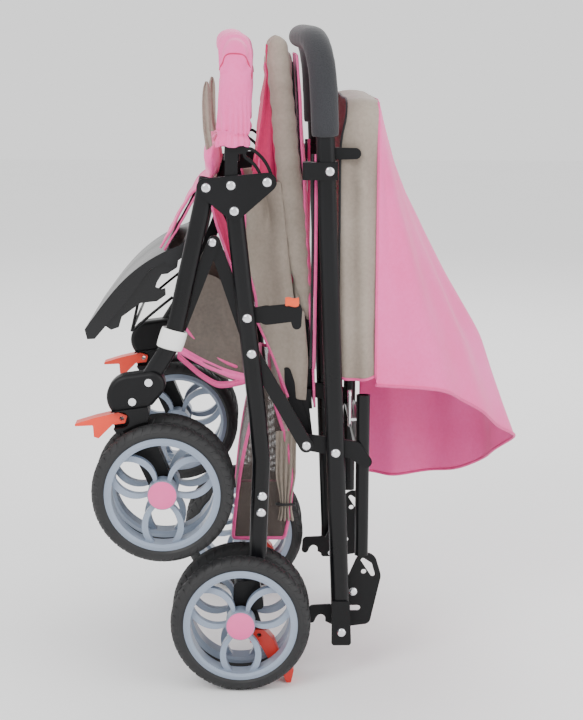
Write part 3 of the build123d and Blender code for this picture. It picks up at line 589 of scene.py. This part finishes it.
HOOD_DEEP = ((0.760, 0.0005), (0.757, 0.004), (0.750, 0.008), (0.738, 0.012), (0.68, 0.030), (0.626, 0.048),
             (0.57, 0.074), (0.514, 0.104), (0.47, 0.128), (0.428, 0.152), (0.35, 0.181), (0.282, 0.2015),
             (0.22, 0.206), (0.17, 0.207))
hem_a, hem_b, hem_c = Vector((0.379, 0, 0.280)), Vector((0.197, -0.165, 0.395)), Vector((0.263, 0.150, 0.191))
hem_n = (hem_c - hem_a).cross(hem_b - hem_a)


def hood_half(z):
    fall = max(0.0, z - (band_high.z - CORNER))
    return HALF - CORNER + sqrt(max(0.0, CORNER ** 2 - min(fall, CORNER) ** 2))


def hood_point(turn, z):
    """A point of the smooth hood: turn runs from -90 degrees at the left seam to 90 at the right."""
    a = radians(turn)
    return Vector((SEAM_X + along(HOOD_DEEP, z) * cos(a) ** 0.92, hood_half(z) * sin(a), z))


def hem_height(turn):
    z = 0.4
    for _ in range(24):
        p = hood_point(turn, z)
        want = hem_a.z - ((p.x - hem_a.x) * hem_n.x + (p.y - hem_a.y) * hem_n.y) / hem_n.z
        z = lerp(z, min(0.72, max(0.175, want)), 0.6)
    return z + 0.003 * sin(radians(turn * 5))


COLUMNS, LEVELS = 72, 46
rows = []
for r in range(LEVELS + 1):
    v = r / LEVELS
    row = []
    for c in range(COLUMNS + 1):
        turn = lerp(-90, 90, c / COLUMNS)
        bottom = hem_height(turn)
        z = lerp(band_high.z, bottom, v ** 1.15)
        p = hood_point(turn, z)
        n = Vector((cos(radians(turn)), sin(radians(turn)), 0.25)).normalized()
        edge = ease(90 - abs(turn), 0, 14)
        fold = 0.0048 * sin(radians(turn * 6.0) + 2.2 * v) + 0.0035 * sin(radians(turn * 11.5) + 1.0 + v)
        fold += 0.008 * blob((p.x, p.y, p.z * 0.3), 14)
        p += n * (fold * edge * ease(v, 0.02, 0.8) - 0.0025)
        row.append(p)
    rows.append(row)
hood = cloth("canopy_hood_cloth", rows, "fabric_pink", 0.0012)
hood_hem = cord_along("hood_hem", rows[-1], 0.0021, "piping_pink")
hood_seam = cord_along("hood_seam", [r[0] for r in rows[1::2]], 0.0016, "piping_pink")
hood_seam_far = cord_along("hood_seam_far", [r[-1] for r in rows[1::2]], 0.0016, "piping_pink")
for piece in (hood, hood_hem, hood_seam, hood_seam_far):
    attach(piece, "canopy")
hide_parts("canopy_hood")
hang(rows)

# ------------------------------------------------------------------ bumper cover with its gathered frill
cover_low, cover_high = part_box("bumper_cover")
cover = puff("bumper_sleeve", "bumper_cover", "fabric_pink", 0.006, 0.004, 3.0, 0.0025)
ARM_Y = (cover_high.y - 0.018)


def sleeve_wrinkle(p):
    near_foot = 1 - ease(p.z, cover_low.z + 0.012, cover_low.z + 0.065)
    bend = ease(p.z, cover_high.z - 0.075, cover_high.z - 0.03) * ease(abs(p.y), 0.11, 0.17)
    gather = 0.0016 * near_foot * sin(p.x * 900 + p.y * 500) + 0.0014 * bend * sin((p.z + abs(p.y)) * 420)
    return gather + 0.0012 * blob(p, 45)


dent(cover, sleeve_wrinkle)
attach(cover, "bumper")
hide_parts("bumper_cover")
for hand, side in ((-1, "left"), (1, "right")):
    rows = []
    centre = Vector(((cover_low.x + 0.040), hand * ARM_Y, cover_low.z))
    arm_x = (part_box("bumper_brackets")[0].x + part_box("bumper_brackets")[1].x) / 2
    centre.x = -0.009
    for r in range(7):
        t = r / 6
        row = []
        for c in range(96):
            a = 2 * pi * c / 96
            neck = 1 - 0.16 * sin(pi * min(1.0, t * 1.6))
            ruffle = 0.0017 * t * sin(13 * a + 0.8 * t) + 0.001 * sin(29 * a) * sin(pi * t)
            deep, wide = (0.0205 * neck + ruffle), (0.0150 * neck + ruffle)
            row.append(centre + Vector((deep * cos(a), wide * sin(a), 0.008 - 0.020 * t + 0.0013 * sin(5 * a) * t)))
        rows.append(row)
    frill = cloth(f"sleeve_frill_{side}", rows, "fabric_pink", 0.001, closed=True)
    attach(frill, "bumper")
    hang(rows, True)


def welt_round(name, thing, y, centre, turns, slot, body):
    """A welt on a pad's skin where an upright plane at y cuts it, between two turns round centre, in degrees."""
    skin = BVHTree.FromPolygons([v.co for v in thing.data.vertices], [tuple(f.vertices) for f in thing.data.polygons])
    points = []
    for turn in np.linspace(*turns, 15):
        ray = Vector((cos(radians(turn)), 0, sin(radians(turn))))
        hit = skin.ray_cast(Vector((centre[0], y, centre[1])) + ray * 0.12, -ray)[0]
        if hit:
            points.append(hit)
    piece = cord_along(name, points, 0.0012, slot)
    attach(piece, body)


cover_mid = (cover_low.x + cover_high.x) / 2
for hand, side in ((-1, "left"), (1, "right")):
    welt_round(f"sleeve_seam_{side}", cover, hand * (ARM_Y - 0.006), (cover_mid, cover_high.z - 0.045), (-35, 205),
               "lining_pink", "bumper")

# ------------------------------------------------------------------ handle grip
grip = puff("handle_foam", "handle_grip", "grip_foam", 0.0, 0.0035, 0.0, 0.0)
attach(grip, "handle")
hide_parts("handle_grip")

# ------------------------------------------------------------------ seat and backrest padding
STRUT_PIVOT, BACK_TOP, SEAT_TOP = (0.085, 0.317), (0.050, 0.830), (0.008, 0.588)


def beside(foot, top, s, offset, y):
    """A point s up the line from foot to top, offset towards +X from it."""
    run = hypot(top[0] - foot[0], top[1] - foot[1])
    ax, az = (top[0] - foot[0]) / run, (top[1] - foot[1]) / run
    return Vector((foot[0] + ax * s + az * offset, y, foot[1] + az * s - ax * offset))


def back_at(s, offset, y):
    return beside(STRUT_PIVOT, BACK_TOP, s, offset, y)


def seat_at(s, offset, y):
    return beside(STRUT_PIVOT, SEAT_TOP, s, offset, y)


bolster = puff("backrest_bolster", "backrest_pad", "fabric_grey", 0.007, 0.005, 4.0, 0.003)


def quilt(p):
    """Long sewn channels down the backrest."""
    line = min(abs(abs(p.y) - 0.05), abs(abs(p.y) - 0.112))
    return -0.0045 * (1 - ease(line, 0.0, 0.008)) * (1 - ease(abs(p.y), 0.125, 0.13)) + 0.0012 * blob(p, 30)


dent(bolster, quilt)
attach(bolster, "backrest")
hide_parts("backrest_pad")

cushion = puff("seat_pad", "seat_cushion", "fabric_grey", 0.006, 0.005, 4.0, 0.002)


def seat_quilt(p):
    line = min(abs(abs(p.y) - 0.045), abs(((p.z - 0.40) % 0.07) - 0.035) + 0.001)
    return -0.003 * (1 - ease(line, 0.0, 0.007)) * (1 - ease(abs(p.y), 0.115, 0.125)) + 0.001 * blob(p, 30)


dent(cushion, seat_quilt)
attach(cushion, "seat")
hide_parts("seat_cushion")


def panel(name, at, s_range, y_range, offset, slot, body, bulge=0.003, thick=0.0014, folds=0.0015, seed=0.0):
    """A fabric panel beside the seat or backrest; offset(s share) is its distance from the line."""
    rows = []
    for r in range(31):
        t = r / 30
        row = []
        for c in range(25):
            u = c / 24
            y = lerp(y_range[0], y_range[1], u)
            s = lerp(s_range[0], s_range[1], t)
            puffed = bulge * sin(pi * u) ** 0.5 * sin(pi * t) ** 0.5 if 0 < u < 1 and 0 < t < 1 else 0.0
            push = offset(t) + puffed + folds * blob((u * 3, t * 6, seed), 1.4)
            row.append(at(s, push, y))
        rows.append(row)
    piece = cloth(name, rows, slot, thick)
    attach(piece, body)
    hang(rows)
    edge = [rows[0][c] for c in range(0, 25, 3)] + [rows[r][-1] for r in range(1, 30, 3)]
    edge += [rows[-1][c] for c in range(24, -1, -3)] + [rows[r][0] for r in range(29, 0, -3)]
    welt = cord_along(f"{name}_welt", edge, 0.0016, "piping_pink", closed=True)
    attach(welt, body)
    return piece


ROLL = ((0.839, 0.047, 0.004), (0.832, 0.047, 0.022), (0.815, 0.0475, 0.029), (0.744, 0.0545, 0.030), (0.655, 0.064, 0.032),
        (0.600, 0.070, 0.030), (0.550, 0.075, 0.027), (0.515, 0.081, 0.020), (0.490, 0.085, 0.010), (0.472, 0.088, 0.003))


def roll(name, hand):
    """The padded roll sewn down one edge of the backrest."""
    mid = [(z, x) for z, x, _ in ROLL]
    deep = [(z, d) for z, _, d in ROLL]
    rows = []
    for r in range(61):
        z = lerp(ROLL[0][0], ROLL[-1][0], r / 60)
        half = along(deep, z) / 2
        rows.append([Vector((along(mid, z) + half * cos(a) * (1 + 0.05 * blob((z * 20, a, hand), 1.0)),
                             hand * 0.136 + 0.82 * half * sin(a) * -hand, z)) for a in np.linspace(0, 2 * pi, 29)[:-1]])
    tube = from_rows(name, rows, "fabric_grey", closed=True)
    shape = bmesh.new()
    shape.from_mesh(tube.data)
    bmesh.ops.holes_fill(shape, edges=[e for e in shape.edges if e.is_boundary])
    bmesh.ops.recalc_face_normals(shape, faces=shape.faces)
    shape.to_mesh(tube.data)
    shape.free()
    soft = tube.modifiers.new("soft", "SUBSURF")
    soft.levels = soft.render_levels = 1
    settle(tube)
    dent(tube, lambda p: 0.0016 * blob(p, 26) + 0.0006 * sin(p.z * 260))
    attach(tube, "backrest")
    line = [Vector((along(mid, z) - along(deep, z) / 2 - 0.0004, hand * 0.133, z)) for z in np.linspace(0.826, 0.50, 20)]
    welt = cord_along(f"{name}_welt", line, 0.0014, "lining_pink")
    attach(welt, "backrest")


for hand, side in ((-1, "left"), (1, "right")):
    roll(f"backrest_roll_{side}", hand)

panel("backrest_back", back_at, (0.036, 0.496), (-0.139, 0.139),
      lambda t: lerp(0.0150, 0.0215, t), "fabric_pink", "backrest", 0.006)
panel("seat_under", seat_at, (0.034, 0.278), (-0.131, 0.131), lambda t: -0.0042, "fabric_grey", "seat", -0.002)

# deep pink gussets between the seat's front and the backrest rolls, and the lining across them
for hand, side in ((-1, "left"), (1, "right")):
    rows = []
    for r in range(25):
        t = r / 24
        z = lerp(0.795, 0.645, t)
        back = along([(k, x) for k, x, _ in ROLL], z) - along([(k, d) for k, _, d in ROLL], z) / 2 + 0.004
        front = lerp(back - 0.004, 0.012, t ** 0.8)
        rows.append([Vector((lerp(front, back, u), hand * (0.130 + 0.004 * sin(3 * pi * u + 3 * t) * t), z))
                     for u in np.linspace(0, 1, 13)])
    gusset = cloth(f"backrest_gusset_{side}", rows, "lining_pink", 0.0014)
    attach(gusset, "backrest")
    hang(rows)
panel("backrest_lining", back_at, (0.330, 0.490), (-0.128, 0.128),
      lambda t: -lerp(0.040, 0.018, ease(t, 0, 1)), "lining_pink", "backrest", -0.004, 0.002, 0.004, 4.0)

# side panels of grey cloth between the seat and the backrest
for hand, side in ((-1, "left"), (1, "right")):
    y = hand * (bolster.dimensions.y / 2 - 0.001)
    rows = []
    for r in range(29):
        t = r / 28
        front = Vector((lerp(-0.002, 0.020, t), y, lerp(0.648, 0.470, t)))
        back = Vector((lerp(0.052, 0.072, t), y, lerp(0.655, 0.480, t)))
        row = []
        for c in range(15):
            u = c / 14
            p = front.lerp(back, u)
            pocket = (1 - ease(abs(u - 0.55 - 0.2 * t), 0.0, 0.16)) * (1 - ease(t, 0.18, 0.42))
            fold = 0.0055 * sin(pi * (u * 2.3 + 0.2) + 1.4 * t) + 0.003 * blob((u * 2, t * 4, 2.0 * hand), 1.2) - 0.009 * pocket
            row.append(p + Vector((0.004 * sin(3 * pi * t) * (1 - u), hand * fold, 0)))
        rows.append(row)
    wing = cloth(f"seat_side_{side}", rows, "fabric_grey", 0.0016)
    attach(wing, "seat")
    hang(rows)
    welt = cord_along(f"seat_side_welt_{side}", [row[0] for row in rows[::2]], 0.0018, "piping_pink")
    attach(welt, "seat")

# ------------------------------------------------------------------ storage basket: mesh sides, piped edges
OUTLINE = [(-0.011, 0.177), (0.024, 0.1745), (0.058, 0.177), (0.068, 0.226), (0.064, 0.30), (0.044, 0.384),
           (0.026, 0.389), (0.012, 0.330), (-0.002, 0.260)]
BASKET_Y = 0.1435
basket_rows = []
SIDE_ROWS = 12
front_edge = lambda t: Vector((lerp(-0.011, 0.026, t) - 0.006 * sin(pi * t), 0, lerp(0.178, 0.388, t)))
rear_edge = lambda t: Vector((0.058 + 0.012 * sin(pi * min(1, t * 1.15)) - 0.016 * t * t, 0, lerp(0.178, 0.384, t)))
for hand, side in ((-1, "left"), (1, "right")):
    rows = []
    for r in range(17):
        t = r / 16
        row = []
        for c in range(9):
            u = c / 8
            p = front_edge(t).lerp(rear_edge(t), u)
            p.y = hand * (BASKET_Y - 0.006 * sin(pi * u) * sin(pi * t))
            row.append(p)
        rows.append(row)
    net = cloth(f"basket_net_{side}", rows, "mesh_grey", 0.0011)
    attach(net, "rear_frame")
    hang(rows)
    edge = [row[0] for row in rows] + rows[-1][1:-1] + [row[-1] for row in rows[::-1]] + rows[0][-2:0:-1]
    rim = cord_along(f"basket_piping_{side}", edge[::1], 0.0024, "piping_pink", closed=True)
    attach(rim, "rear_frame")


def basket_wall(name, edge, t_range, slot, droop, top_fold=0.0):
    rows = []
    for r in range(21):
        t = lerp(t_range[0], t_range[1], r / 20)
        row = []
        for c in range(25):
            y = lerp(-BASKET_Y, BASKET_Y, c / 24)
            p = edge(t)
            p.y = y
            p.x += 0.003 * blob((y * 12, t * 5, 1.0), 1.5) + droop * (1 - (y / BASKET_Y) ** 2)
            p.z += 0.002 * blob((y * 9, t * 6, 3.0), 1.5) - top_fold * (1 - (y / BASKET_Y) ** 2) * ease(t, 0.6, 1)
            row.append(p)
        rows.append(row)
    piece = cloth(name, rows, slot, 0.0012)
    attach(piece, "rear_frame")
    hang(rows)
    return piece, rows


wall_front, front_rows = basket_wall("basket_front_wall", front_edge, (0, 1), "mesh_grey", 0.004, 0.02)
wall_rear, rear_rows = basket_wall("basket_rear_wall", rear_edge, (0, 1), "fabric_grey", -0.004, 0.015)
floor_rows = []
for r in range(9):
    row = []
    for c in range(25):
        y = lerp(-BASKET_Y, BASKET_Y, c / 24)
        p = front_edge(0).lerp(rear_edge(0), r / 8)
        row.append(Vector((p.x, y, p.z + 0.003 * blob((p.x * 30, y * 14, 0), 1.0) - 0.002)))
    floor_rows.append(row)
basket_floor = cloth("basket_floor", floor_rows, "fabric_grey", 0.0016)
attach(basket_floor, "rear_frame")
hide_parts("storage_basket")
hang(floor_rows)
for name, rows in (("basket_top_piping_front", front_rows), ("basket_top_piping_rear", rear_rows)):
    piece = cord_along(name, rows[-1][::2], 0.0024, "piping_pink")
    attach(piece, "rear_frame")

# basket's front flap, up to the front cross tube
flap_low, flap_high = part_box("basket_front")
rows = []
for r in range(19):
    t = r / 18
    row = []
    for c in range(25):
        y = lerp(-BASKET_Y, BASKET_Y, c / 24)
        p = Vector((lerp(flap_high.x, flap_low.x, t), y, lerp(flap_low.z + 0.002, flap_high.z - 0.002, t)))
        p.z -= 0.009 * sin(pi * t) + 0.002 * blob((y * 12, t * 5, 7.0), 1.2)
        row.append(p)
    rows.append(row)
# the flap takes the darkened grey cloth, painted shade of the basket's inside
flap = cloth("basket_flap", rows, "grey_cloth_painted_shade", 0.0014)
flap_edge = rows[0][::2] + [r[-1] for r in rows[1:-1:2]] + rows[-1][::-2] + [r[0] for r in rows[-2:0:-2]]
flap_welt = cord_along("basket_flap_piping", flap_edge, 0.0022, "piping_pink", closed=True)
for piece in (flap, flap_welt):
    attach(piece, "front_frame")
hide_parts("basket_front")
hang(rows)

# ------------------------------------------------------------------ small pieces
def collar(hand, side):
    """The white band round the front leg."""
    top, low = Vector((-0.0825, hand * 0.2, 0.472)), Vector((-0.0905, hand * 0.2, 0.447))
    rows = []
    for r in range(6):
        t = r / 5
        p = top.lerp(low, t)
        bulge = 0.0006 * sin(pi * t)
        rows.append([p + Vector(((0.0150 + bulge) * cos(a), (0.0108 + bulge) * sin(a), -0.004 * cos(a)))
                     for a in np.linspace(0, 2 * pi, 33)[:-1]])
    piece = cloth(f"leg_collar_{side}", rows, "band_white", 0.0022, closed=True)
    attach(piece, "front_frame")


def tag(hand, side):
    """The orange loop sewn over the catch's nose."""
    y = hand * 0.190
    rows = []
    for r in range(9):
        t = r / 8
        rows.append([Vector((lerp(0.057, 0.075, u), y + hand * 0.0045 * sin(pi * t - pi / 2 + 0.0) * 1.0,
                             0.500 + 0.0105 * sin(pi * t) + 0.001 * sin(7 * u))) for u in np.linspace(0, 1, 7)])
    piece = cloth(f"catch_tag_{side}", rows, "tag_orange", 0.0016)
    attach(piece, "fold_catches")


for hand, side in ((-1, "left"), (1, "right")):
    collar(hand, side)
    tag(hand, side)



def dome(name, centre, radius, rise, hand, slot, body):
    """A domed rivet head facing outwards along Y."""
    rows = []
    for r in range(7):
        a = pi / 2 * r / 6
        out, high = radius * cos(a), rise * sin(a)
        rows.append([centre + Vector((max(out, 0.0001) * cos(b), hand * high, max(out, 0.0001) * sin(b)))
                     for b in np.linspace(0, 2 * pi, 25)[:-1]])
    rows.insert(0, [Vector((p.x, centre.y - hand * 0.001, p.z)) for p in rows[0]])
    head = from_rows(name, rows, slot, closed=True)
    shape = bmesh.new()
    shape.from_mesh(head.data)
    bmesh.ops.holes_fill(shape, edges=[e for e in shape.edges if e.is_boundary])
    bmesh.ops.recalc_face_normals(shape, faces=shape.faces)
    shape.to_mesh(head.data)
    shape.free()
    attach(head, body)


def strip(name, left, right, y, slot, rides, folds=0.0, welt=None, count=21):
    """A flat cloth between two lines of (x, z) points at this y. rides is a body, or a tuple (a, b, start, end); with a
    tuple the piece is only baked in place and rides on no body.
    """
    lines = []
    for line in (left, right):
        lengths = [0.0]
        for a, b in zip(line, line[1:]):
            lengths.append(lengths[-1] + hypot(b[0] - a[0], b[1] - a[1]))
        places = []
        for t in np.linspace(0, lengths[-1], count):
            places.append((float(np.interp(t, lengths, [p[0] for p in line])),
                           float(np.interp(t, lengths, [p[1] for p in line]))))
        for _ in range(2):
            places = [places[0]] + [((a[0] + 2 * b[0] + c[0]) / 4, (a[1] + 2 * b[1] + c[1]) / 4)
                                    for a, b, c in zip(places, places[1:], places[2:])] + [places[-1]]
        lines.append(places)
    rows = []
    for r, (a, b) in enumerate(zip(*lines)):
        row = []
        for u in np.linspace(0, 1, 11):
            push = folds * (sin(9 * u + 2.5 * r / count) + 0.8 * blob((a[0] * 20, u * 2, a[1] * 20), 1.3))
            row.append(Vector((lerp(a[0], b[0], u), y + (1 if y > 0 else -1) * push, lerp(a[1], b[1], u))))
        rows.append(row)
    made = [cloth(name, rows, slot, 0.0014)]
    if welt:
        made.append(cord_along(f"{name}_welt", [row[0] for row in rows], 0.0018, welt))
    for piece in made:
        if isinstance(rides, str):
            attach(piece, rides)
        else:
            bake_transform(piece)
    hang(rows)
    return made[0]


def across(name, line, half, slot, rides, thick=0.0016, ripple=0.002, seed=0.0):
    """A cloth that follows a line of (x, z) points and runs from -half to half along Y."""
    rows = []
    for i, (x, z) in enumerate(line):
        rows.append([Vector((x + ripple * blob((u * 9, i * 0.4, seed), 1.3), u * half,
                             z + ripple * blob((u * 9, i * 0.4, seed + 5), 1.3))) for u in np.linspace(-1, 1, 33)])
    piece = cloth(name, rows, slot, thick)
    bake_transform(piece) if isinstance(rides, tuple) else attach(piece, rides)
    hang(rows)
    for hand, side in ((0, "left"), (-1, "right")):
        welt = cord_along(f"{name}_welt_{side}", [row[hand] for row in rows], 0.0016, "piping_pink")
        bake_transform(welt) if isinstance(rides, tuple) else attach(welt, rides)
    return piece


def curve_points(points, count=16):
    """More points on the smooth line through these (x, z) points."""
    key = np.linspace(0, 1, len(points))
    t = np.linspace(0, 1, count)
    xs, zs = np.interp(t, key, [p[0] for p in points]), np.interp(t, key, [p[1] for p in points])
    for _ in range(3):
        xs[1:-1] = (xs[:-2] + 2 * xs[1:-1] + xs[2:]) / 4
        zs[1:-1] = (zs[:-2] + 2 * zs[1:-1] + zs[2:]) / 4
    return list(zip(xs.tolist(), zs.tolist()))


KNEE = Vector((-0.035, 0, 0.5815))
brace_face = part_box("front_braces")[1].y
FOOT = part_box("footrest_board")
calf_line = curve_points([(-0.040, 0.652), (-0.060, 0.643), (-0.074, 0.620), (-0.090, 0.590), (-0.104, 0.567)])
calf_under = [(x + 0.006, z - 0.003) for x, z in calf_line]
to_foot = ("front_frame", "footrest", (-0.062, 0, 0.635), (-0.100, 0, 0.575))
across("calf_panel", calf_line, 0.133, "fabric_pink", to_foot)
across("calf_panel_back", calf_under, 0.130, "fabric_grey", to_foot, seed=3.0)

for hand, side in ((-1, "left"), (1, "right")):
    dome(f"knee_rivet_{side}", Vector((KNEE.x, hand * brace_face, KNEE.z)), 0.0058, 0.0024, hand, "chrome", "front_braces")
    strip(f"seat_front_lip_{side}", [(-0.039, 0.634), (-0.031, 0.600), (-0.018, 0.562), (-0.009, 0.537)],
          [(-0.036, 0.634), (-0.018, 0.604), (-0.010, 0.570), (-0.007, 0.537)], hand * 0.146, "lining_pink", "seat",
          0.001, "piping_pink")
    to_rear = ("front_frame", "rear_frame", (-0.078, 0, 0.45), (0.0, 0, 0.45))
    side_y = hand * 0.1445
    # the footwell sides take the darkened grey cloth, painted shade of the basket's inside
    strip(f"footwell_side_{side}", [(-0.082, 0.437), (-0.050, 0.412), (-0.020, 0.396), (0.007, 0.390)],
          [(-0.070, 0.500), (-0.054, 0.538), (-0.024, 0.530), (-0.004, 0.478), (0.008, 0.445)], side_y, "grey_cloth_painted_shade", to_rear, 0.0025)
    strip(f"footwell_hem_{side}", [(-0.083, 0.443), (-0.050, 0.424), (-0.020, 0.410), (0.007, 0.403)],
          [(-0.083, 0.432), (-0.050, 0.413), (-0.020, 0.399), (0.007, 0.391)], side_y + hand * 0.0028, "fabric_pink", to_rear,
          0.0006)
    strip(f"footwell_binding_{side}", [(-0.083, 0.433), (-0.055, 0.408), (-0.031, 0.392), (-0.010, 0.394), (0.006, 0.397)],
          [(-0.083, 0.424), (-0.055, 0.399), (-0.031, 0.383), (-0.010, 0.385), (0.006, 0.389)], side_y + hand * 0.0024,
          "piping_pink", to_rear, 0.0006)
    strip(f"seat_tail_{side}", [(0.021, 0.474), (0.043, 0.424), (0.062, 0.372)], [(0.083, 0.488), (0.089, 0.420), (0.086, 0.366)],
          hand * 0.1455, "fabric_grey", "seat", 0.0028, "piping_pink")
    gather = [[Vector((lerp(0.046, 0.073, 0.5 + (u - 0.5) * lerp(1.0, 0.55, ease(abs(t - 0.8), 0.35, 0.0))),
                       hand * (0.1448 + 0.0035 * sin(26 * u + 3 * t) * (0.5 + 0.5 * t)), lerp(0.326, 0.202, t)))
               for u in np.linspace(0, 1, 27)] for t in np.linspace(0, 1, 21)]
    bunch = cloth(f"basket_gather_{side}", gather, "fabric_grey", 0.0012)
    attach(bunch, "rear_frame")
    hang(gather)
    tie = cord_along(f"basket_tie_{side}", [Vector((0.0595 + 0.0125 * cos(a), hand * (0.1455 + 0.0045 * sin(a)), 0.226))
                                            for a in np.linspace(0, 2 * pi, 17)[:-1]], 0.0018, "piping_black", closed=True)
    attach(tie, "rear_frame")
    wire = cord_along(f"footrest_wire_{side}", [Vector((-0.0895, hand * 0.120, 0.5005)), Vector((-0.118, hand * 0.120, 0.478)),
                                                Vector((-0.141, hand * 0.120, 0.457)), Vector((-0.1438, hand * 0.120, 0.456)),
                                                Vector((-0.1415, hand * 0.120, 0.464)), Vector((-0.1345, hand * 0.120, 0.495))],
                      0.0019, "frame_black")
    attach(wire, "footrest")
    rod = cord_along(f"strut_rod_{side}", [Vector((0.1425, hand * 0.161, 0.336)), Vector((0.1425, hand * 0.161, 0.360)),
                                           Vector((0.1425, hand * 0.161, 0.384))], 0.0028, "chrome")
    pin = cord_along(f"strut_rod_pin_{side}", [Vector((0.1425, hand * 0.161, 0.345)), Vector((0.148, hand * 0.161, 0.345)),
                                               Vector((0.153, hand * 0.161, 0.345))], 0.0024, "chrome")
    trim = cord_along(f"canopy_trim_{side}", [Vector((x, hand * 0.158, z)) for x, z in
                                              ((0.0965, 0.690), (0.0972, 0.60), (0.0965, 0.50), (0.0955, 0.412))], 0.0022, "piping_pink")
    edge = cord_along(f"canopy_trim_edge_{side}", [Vector((x, hand * 0.157, z)) for x, z in
                                                   ((0.0925, 0.690), (0.093, 0.60), (0.0925, 0.50), (0.0915, 0.412))], 0.0019, "piping_black")
    for piece, body, slot in ((rod, "strut", "chrome"), (pin, "strut", "chrome"), (trim, "canopy", "fabric_pink"),
                              (edge, "canopy", "frame_black")):
        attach(piece, body)

bar = cord_along("footrest_wire_bar", [Vector((-0.1438, y, 0.456)) for y in np.linspace(-0.120, 0.120, 7)], 0.0019, "frame_black")
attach(bar, "footrest")

# the bunched front edge of the seat cloth, and the grey strap that stands up from it
rows = []
for y in np.linspace(-0.137, 0.137, 49):
    ring = []
    for a in np.linspace(0, 2 * pi, 29)[:-1]:
        fold = 1 + 0.16 * sin(3 * a + y * 60) + 0.22 * blob((cos(a), sin(a), y * 26), 1.1)
        close = sqrt(max(0.02, 1 - (abs(y) / 0.1375) ** 8))
        ring.append(Vector((-0.038 + 0.0095 * fold * cos(a) * close, y, 0.681 + 0.024 * fold * sin(a) * close)))
    rows.append(ring)
bunched = from_rows("seat_front_bunch", rows, "fabric_pink", closed=True)
shape = bmesh.new()
shape.from_mesh(bunched.data)
bmesh.ops.holes_fill(shape, edges=[e for e in shape.edges if e.is_boundary])
bmesh.ops.recalc_face_normals(shape, faces=shape.faces)
shape.to_mesh(bunched.data)
shape.free()
soft = bunched.modifiers.new("soft", "SUBSURF")
soft.levels = soft.render_levels = 1
settle(bunched)
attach(bunched, "front_frame")

for hand, side in ((-1, "left"), (1, "right")):
    strip(f"seat_strap_{side}", [(-0.0440, 0.690), (-0.0485, 0.720), (-0.0495, 0.752), (-0.0478, 0.774), (-0.0445, 0.7805)],
          [(-0.0350, 0.690), (-0.0385, 0.720), (-0.0385, 0.752), (-0.0388, 0.774), (-0.0415, 0.7800)], hand * 0.122, "fabric_grey",
          "front_frame", 0.0012)

# ------------------------------------------------------------------ stage, light and camera
stage = from_rows("floor", [[(-9, -9, -0.0005), (9, -9, -0.0005)], [(-9, 9, -0.0005), (9, 9, -0.0005)]], "band_white")
floor_paint = Paint("pale_floor", rough=0.55)
floor_paint.put("Base Color", floor_paint.mix(floor_paint.speckle(3), (0.93, 0.93, 0.93), (0.96, 0.96, 0.96)))
stage.data.materials.clear()
stage.data.materials.append(floor_paint.material)

world = bpy.data.worlds.new("studio")
bpy.context.scene.world = world
world.use_nodes = True
world.node_tree.nodes["Background"].inputs[0].default_value = (1, 1, 1, 1)
world.node_tree.nodes["Background"].inputs[1].default_value = 1.3
for name, place, size, watts in (
    ("key", (-1.6, -2.4, 2.6), 1.6, 62), ("fill", (2.2, -1.8, 1.6), 2.2, 34), ("back", (0.6, 2.4, 2.4), 2.0, 40),
):
    lamp = bpy.data.lights.new(name, "AREA")
    lamp.energy, lamp.size = watts, size
    light = bpy.data.objects.new(name, lamp)
    bpy.context.scene.collection.objects.link(light)
    light.location = place
    light.rotation_euler = (Vector((0.1, 0, 0.42)) - Vector(place)).to_track_quat("-Z", "Y").to_euler()

eye = bpy.data.cameras.new("camera")
eye.lens, eye.sensor_width, eye.sensor_fit = 81.9, 36, "AUTO"
camera = bpy.data.objects.new("camera", eye)
bpy.context.scene.collection.objects.link(camera)
right, up, ahead = Vector((0.99982, -0.01886, 0.00374)), Vector((0, 0.19459, 0.98089)), Vector((0.01923, 0.98070, -0.19455))
camera.matrix_world = Matrix.Translation((0.0252, -2.2488, 0.8385)) @ Matrix(
    (right, up, -ahead)).transposed().to_4x4()
bpy.context.scene.camera = camera
